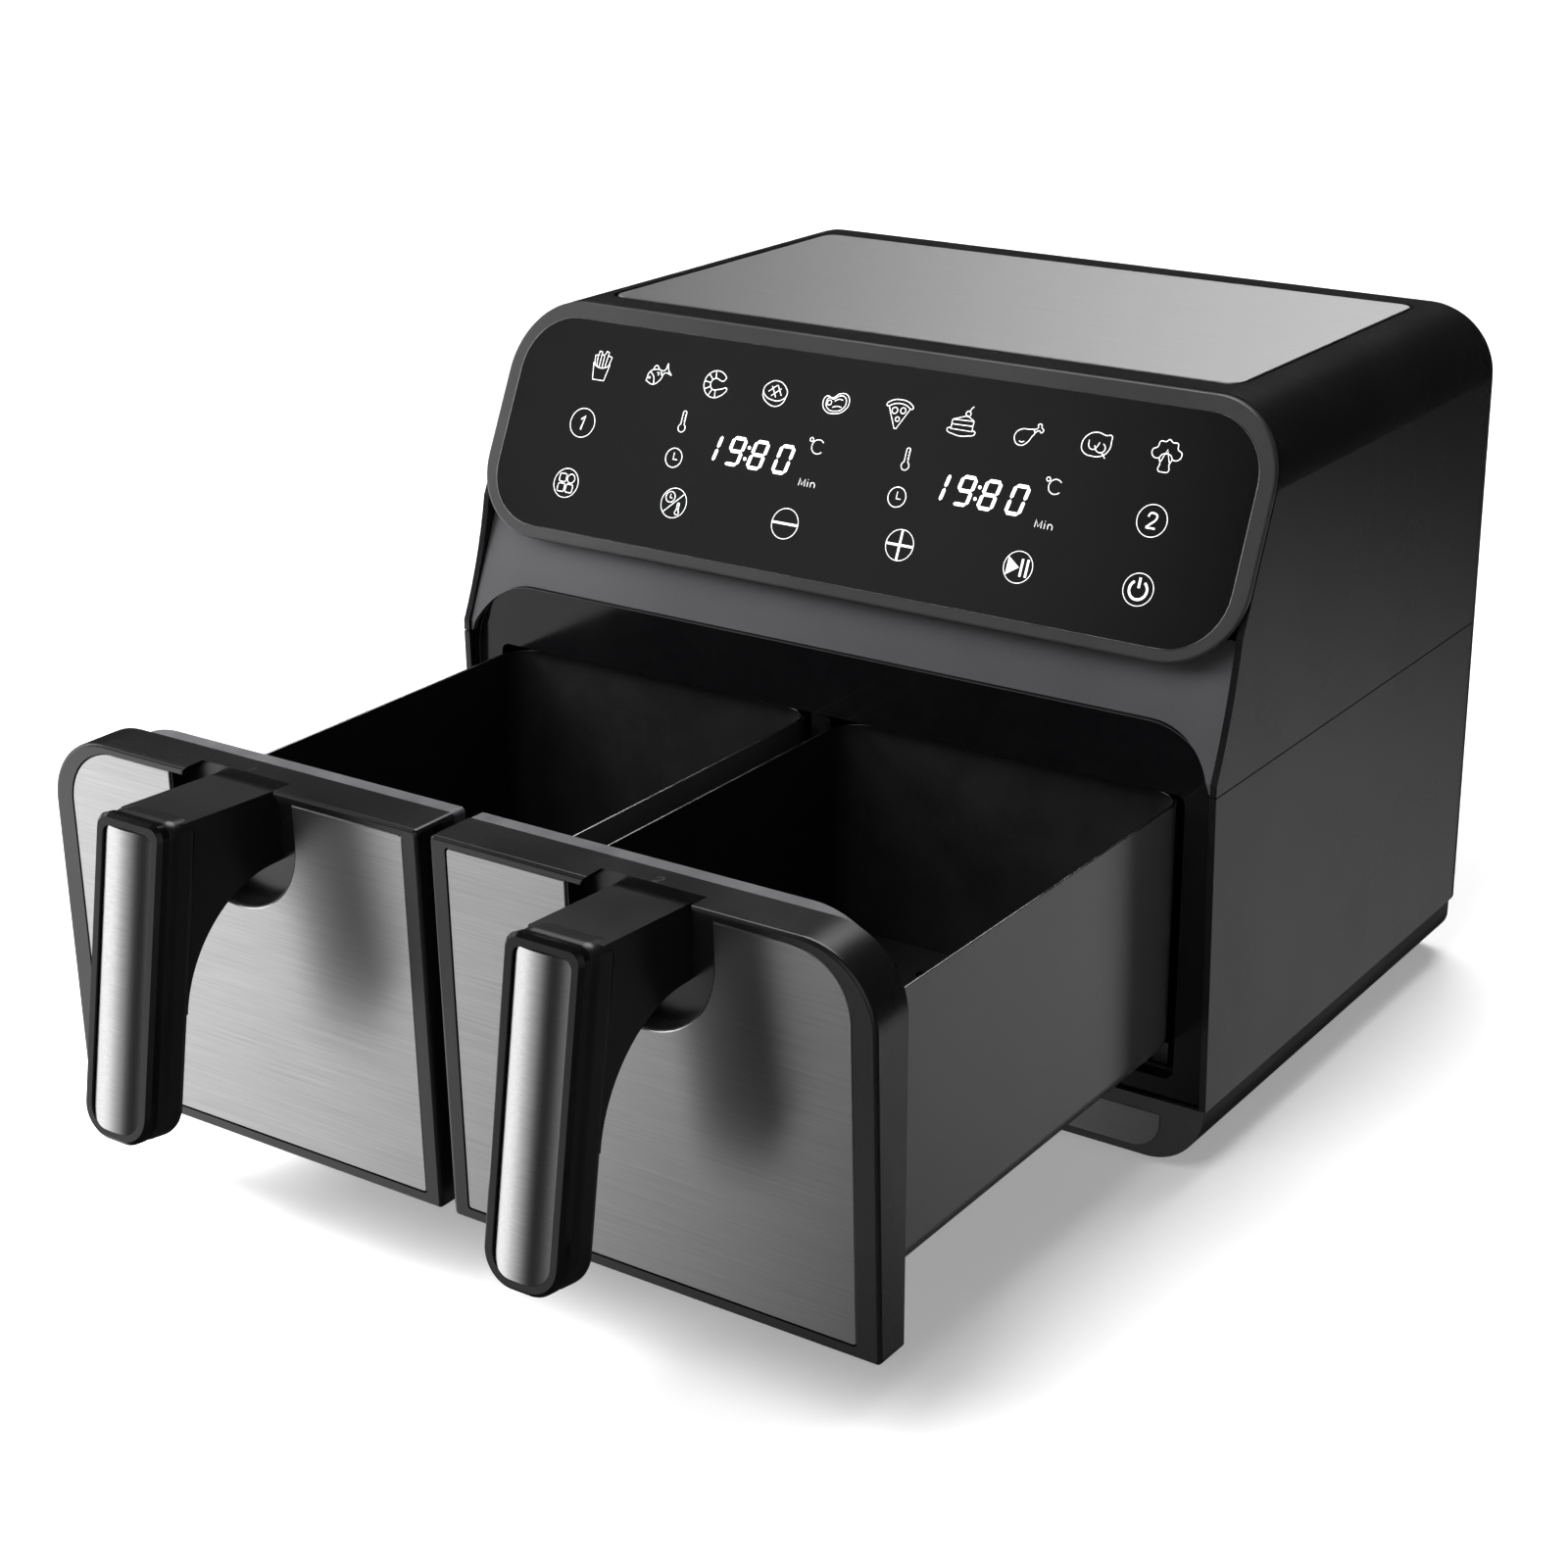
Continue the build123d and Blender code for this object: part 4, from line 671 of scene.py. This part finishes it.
MIN_UNIT = [
    ("line", [(-4.4, -1.5), (-4.2, 1.7), (-2.9, -1.2), (-1.4, 1.6), (-1.4, -1.6)]),
    ("line", [(0.1, 0.6), (0.1, -1.6)]),
    ("line", [(0.1, 1.5), (0.1, 1.7)]),
    ("soft", [(1.7, 0.6), (1.7, -1.6)]),
    ("soft", [(1.7, 0.0), (2.6, 0.6), (3.6, 0.1), (3.8, -1.6)]),
]
DEGREES_C = [("line", arc(-3.0, 2.7, 0.9, steps=12)), ("line", arc(0.9, -0.1, 3.2, 42, 318, 20))]
BESIDE_DISPLAY = {
    # what is drawn, how far from the display's middle, how far up the glass, how wide its lines are
    "thermometer": (THERMOMETER, -40.0, 59.4, LINE),
    "clock": (CLOCK, -40.3, 42.4, LINE),
    "degrees": (DEGREES_C, 32.0, 58.2, LINE),
    "minutes": (MIN_UNIT, 32.0, 41.6, FINE_LINE),
}
for number, middle in DISPLAYS.items():
    figures = [outline for shape, x in FIGURES for outline in digit(shape, x)]
    figures += [arc(x, y, COLON_DOT, steps=10)[:-1] for x, y in COLON]
    cut_out(f"display_digits_{number}", figures, panel_place(middle, DIGIT_ROW), DIGIT_THICK, digit_glow)
    for mark, (strokes, u, v, width) in BESIDE_DISPLAY.items():
        drawn(f"{mark}_{number}", strokes, panel_place(middle + u, v), width, panel_print)


# ---------------------------------------------------------------- lips, rims and drawer marks

def in_mm(node):
    """A CAD node's lowest and highest corners in millimetres."""
    return [[c / MM for c in corner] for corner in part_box(node)]


# in millimetres, apart from the widths
GLASS_CORNER = 27.0
ARCH_CORNER = 32.0
PAN_CORNER = 14.0
HALF_SHEET = 0.6        # half the thickness of the pan's wall
LIP = 0.5 * MM
RIM = 1.3 * MM
ENGRAVED_LINE = 0.5 * MM
HANDLE_X = 97.0         # each drawer's number stands behind its handle
NUMBER_SETBACK = 13.0
NUMBER_SCALE = 0.7
CORNER_STEPS = 10

(glass_x0, _, _), (glass_x1, _, _) = in_mm("touch_glass")
glass_rise = (max(glass_heights) - min(glass_heights)) / MM
drawn("bezel_lip", [("line", rounded(glass_x0, glass_x1, 0, glass_rise, GLASS_CORNER, CORNER_STEPS))],
      panel_place(0, 0), LIP, plated, flat=0.5)

(arch_x0, arch_y0, arch_z0), (arch_x1, _, arch_z1) = in_mm("drawer_arch")
# lays a drawing's x and y along the part's X and Z, on the front of the arch
UPRIGHT = Matrix(((1, 0, 0, 0), (0, 0, -1, arch_y0 * MM), (0, 1, 0, 0), (0, 0, 0, 1)))
arch_top = rounded(arch_x0, arch_x1, 0, arch_z1, ARCH_CORNER, CORNER_STEPS)[:2 * (CORNER_STEPS + 1)]
drawn("arch_lip", [("line", [(arch_x1, arch_z0), *arch_top, (arch_x0, arch_z0)])],
      UPRIGHT, LIP, charcoal, flat=1)

for side in SIDES:
    (pan_x0, pan_y0, _), (pan_x1, pan_y1, pan_top) = in_mm(f"pan_{side}")
    rim = rounded(pan_x0 + HALF_SHEET, pan_x1 - HALF_SHEET, pan_y0 + HALF_SHEET, pan_y1 - HALF_SHEET,
                  PAN_CORNER, 8)
    drawn(f"pan_rim_{side}", [("line", rim)], Matrix.Translation((0, 0, pan_top * MM)), RIM, plated,
          body=f"drawer_{side}", flat=0.5)

engraving = display_block()
for side, strokes in (("left", ONE), ("right", TWO)):
    (_, front_y, _), (_, _, front_top) = in_mm(f"drawer_front_{side}")
    at = Vector((SIDES[side] * HANDLE_X, front_y + NUMBER_SETBACK, front_top)) * MM
    drawn(f"drawer_mark_{side}", shifted(strokes, 0, 0, NUMBER_SCALE), Matrix.Translation(at),
          ENGRAVED_LINE, engraving, body=f"drawer_{side}")


# ---------------------------------------------------------------- studio

FLOOR_REACH = 40.0
FLOOR_DROP = 0.2 * MM   # keeps the floor out of the feet's lower faces
BACKDROP_REACH = 8.0


def stage_piece(name, mesh, material):
    """A piece of the studio, which no gloss shows."""
    mesh.materials.append(material)
    piece = bpy.data.objects.new(name, mesh)
    piece.visible_glossy = False
    bpy.context.collection.objects.link(piece)
    return piece


def studio_floor():
    """A wide pale sweep that the fryer stands on."""
    material, tree = blank("studio_floor_paper")
    face = skin(tree, "#ececec", "#f0f0f0", 3 * MM, 0.02 * MM, 0.85, 0.03, cloud=2.0)
    finish(material, tree, {**face, "Specular IOR Level": 0.1, "Emission Color": linear("#ffffff"),
                            "Emission Strength": 0.3})
    corners = [(x * FLOOR_REACH, y * FLOOR_REACH, 0) for x, y in ((-1, -1), (1, -1), (1, 1), (-1, 1))]
    mesh = bpy.data.meshes.new("studio_floor")
    mesh.from_pydata(corners, [], [(0, 1, 2, 3)])
    stage_piece("studio_floor", mesh, material).location.z = -FLOOR_DROP


def studio_backdrop():
    """A white dome all round, for the eye only: it neither lights the fryer nor shows in it."""
    material, tree = blank("studio_backdrop_paper")
    finish(material, tree, {"Base Color": linear("#000000"), "Roughness": 1.0, "Specular IOR Level": 0.0,
                            "Emission Color": linear("#ffffff"), "Emission Strength": 1.0})
    dome = bmesh.new()
    bmesh.ops.create_icosphere(dome, subdivisions=4, radius=BACKDROP_REACH)
    mesh = bpy.data.meshes.new("studio_backdrop")
    dome.to_mesh(mesh)
    dome.free()
    backdrop = stage_piece("studio_backdrop", mesh, material)
    backdrop.visible_diffuse = backdrop.visible_transmission = backdrop.visible_shadow = False


ROOM_GLOW = 0.02
CARDS = {
    # the way to the card's middle, the cosines where its glow starts and is full, its brightness
    "overhead_rear": ((-0.20, 0.43, 0.88), 0.88, 0.97, 5.5),
    "overhead_left": ((-0.88, -0.30, 0.37), 0.90, 0.98, 2.4),
    "left_wall": ((-0.93, -0.12, -0.35), 0.74, 0.97, 1.9),
    "front_table": ((-0.68, -0.66, -0.32), 0.93, 0.998, 0.95),
    "right_table": ((0.42, 0.82, -0.40), 0.983, 0.999, 0.85),
    "panel_haze": ((-0.53, -0.72, 0.45), 0.984, 0.9995, 0.4),
    "front_right_fill": ((0.45, -0.85, 0.28), 0.75, 0.97, 0.35),
    "front_room": ((0.30, -0.95, 0.05), 0.85, 0.98, 0.4),
}


def studio_room():
    """A dim room hung with glowing cards, which give the fryer its highlights."""
    world = bpy.data.worlds.new("studio_room")
    world.use_nodes = True
    tree = world.node_tree
    tree.nodes.clear()
    way = add(tree, "ShaderNodeTexCoord").outputs["Generated"]
    glow = ROOM_GLOW
    for name, (middle, start, full, brightness) in CARDS.items():
        aim = add(tree, "ShaderNodeVectorMath", {"operation": "DOT_PRODUCT", "label": name},
                  {0: way, 1: Vector(middle).normalized()})
        card = add(tree, "ShaderNodeMapRange", {"interpolation_type": "SMOOTHSTEP"},
                   {"Value": aim.outputs["Value"], "From Min": start, "From Max": full,
                    "To Max": brightness})
        lit = add(tree, "ShaderNodeMath", {"operation": "ADD"}, {0: card.outputs["Result"], 1: glow})
        glow = lit.outputs[0]
    sky = add(tree, "ShaderNodeBackground", {}, {"Color": linear("#ffffff"), "Strength": glow})
    add(tree, "ShaderNodeOutputWorld", {}, {"Surface": sky.outputs["Background"]})
    bpy.context.scene.world = world


def studio_light(name, kind, strength, place, aim):
    """A light that stands at a place and shines towards its aim, which no gloss shows."""
    light = bpy.data.lights.new(name, kind)
    light.energy = strength
    lamp = bpy.data.objects.new(name, light)
    lamp.location = place
    lamp.rotation_euler = (Vector(place) - Vector(aim)).to_track_quat("Z", "Y").to_euler()
    lamp.visible_glossy = False
    bpy.context.collection.objects.link(lamp)
    return light


# the key light comes from in front, a little to the left and high up
SUN_AZIMUTH = math.radians(-163)
SUN_HEIGHT = math.radians(50)
SUN_WAY = (math.sin(SUN_AZIMUTH) * math.cos(SUN_HEIGHT), math.cos(SUN_AZIMUTH) * math.cos(SUN_HEIGHT),
           math.sin(SUN_HEIGHT))
SUN_SOFTNESS = math.radians(40)
# a square lamp close to the left, so that its light falls off across the front
SOFTBOX_PLACE = (-0.46, -0.34, 0.42)
SOFTBOX_AIM = (-0.12, 0.0, 0.20)
SOFTBOX_SIDE = 0.22

# where the camera stands, how far it is turned and dipped, and its lens in millimetres
CAMERA_PLACE = (0.6651, -0.9991, 0.6069)
CAMERA_TURN = math.radians(33.85)
CAMERA_DIP = math.radians(18.15)
CAMERA_LENS = 67.73
CAMERA_SENSOR = 36
CAMERA_SHIFT = -0.10
CAMERA_SIGHT = 100      # how far the camera sees


def studio_camera():
    """The viewpoint: in front, to the right and a little above."""
    lens = bpy.data.cameras.new("camera")
    lens.lens = CAMERA_LENS
    lens.sensor_width = CAMERA_SENSOR
    lens.shift_y = CAMERA_SHIFT
    lens.clip_end = CAMERA_SIGHT
    camera = bpy.data.objects.new("camera", lens)
    camera.location = CAMERA_PLACE
    camera.rotation_euler = (math.pi / 2 - CAMERA_DIP, 0, CAMERA_TURN)
    bpy.context.collection.objects.link(camera)
    bpy.context.scene.camera = camera


studio_floor()
studio_backdrop()
studio_room()
studio_light("key_light", "SUN", 3.0, SUN_WAY, (0, 0, 0)).angle = SUN_SOFTNESS
studio_light("left_softbox", "AREA", 5.0, SOFTBOX_PLACE, SOFTBOX_AIM).size = SOFTBOX_SIDE
studio_camera()
bpy.context.scene.view_settings.view_transform = "Standard"
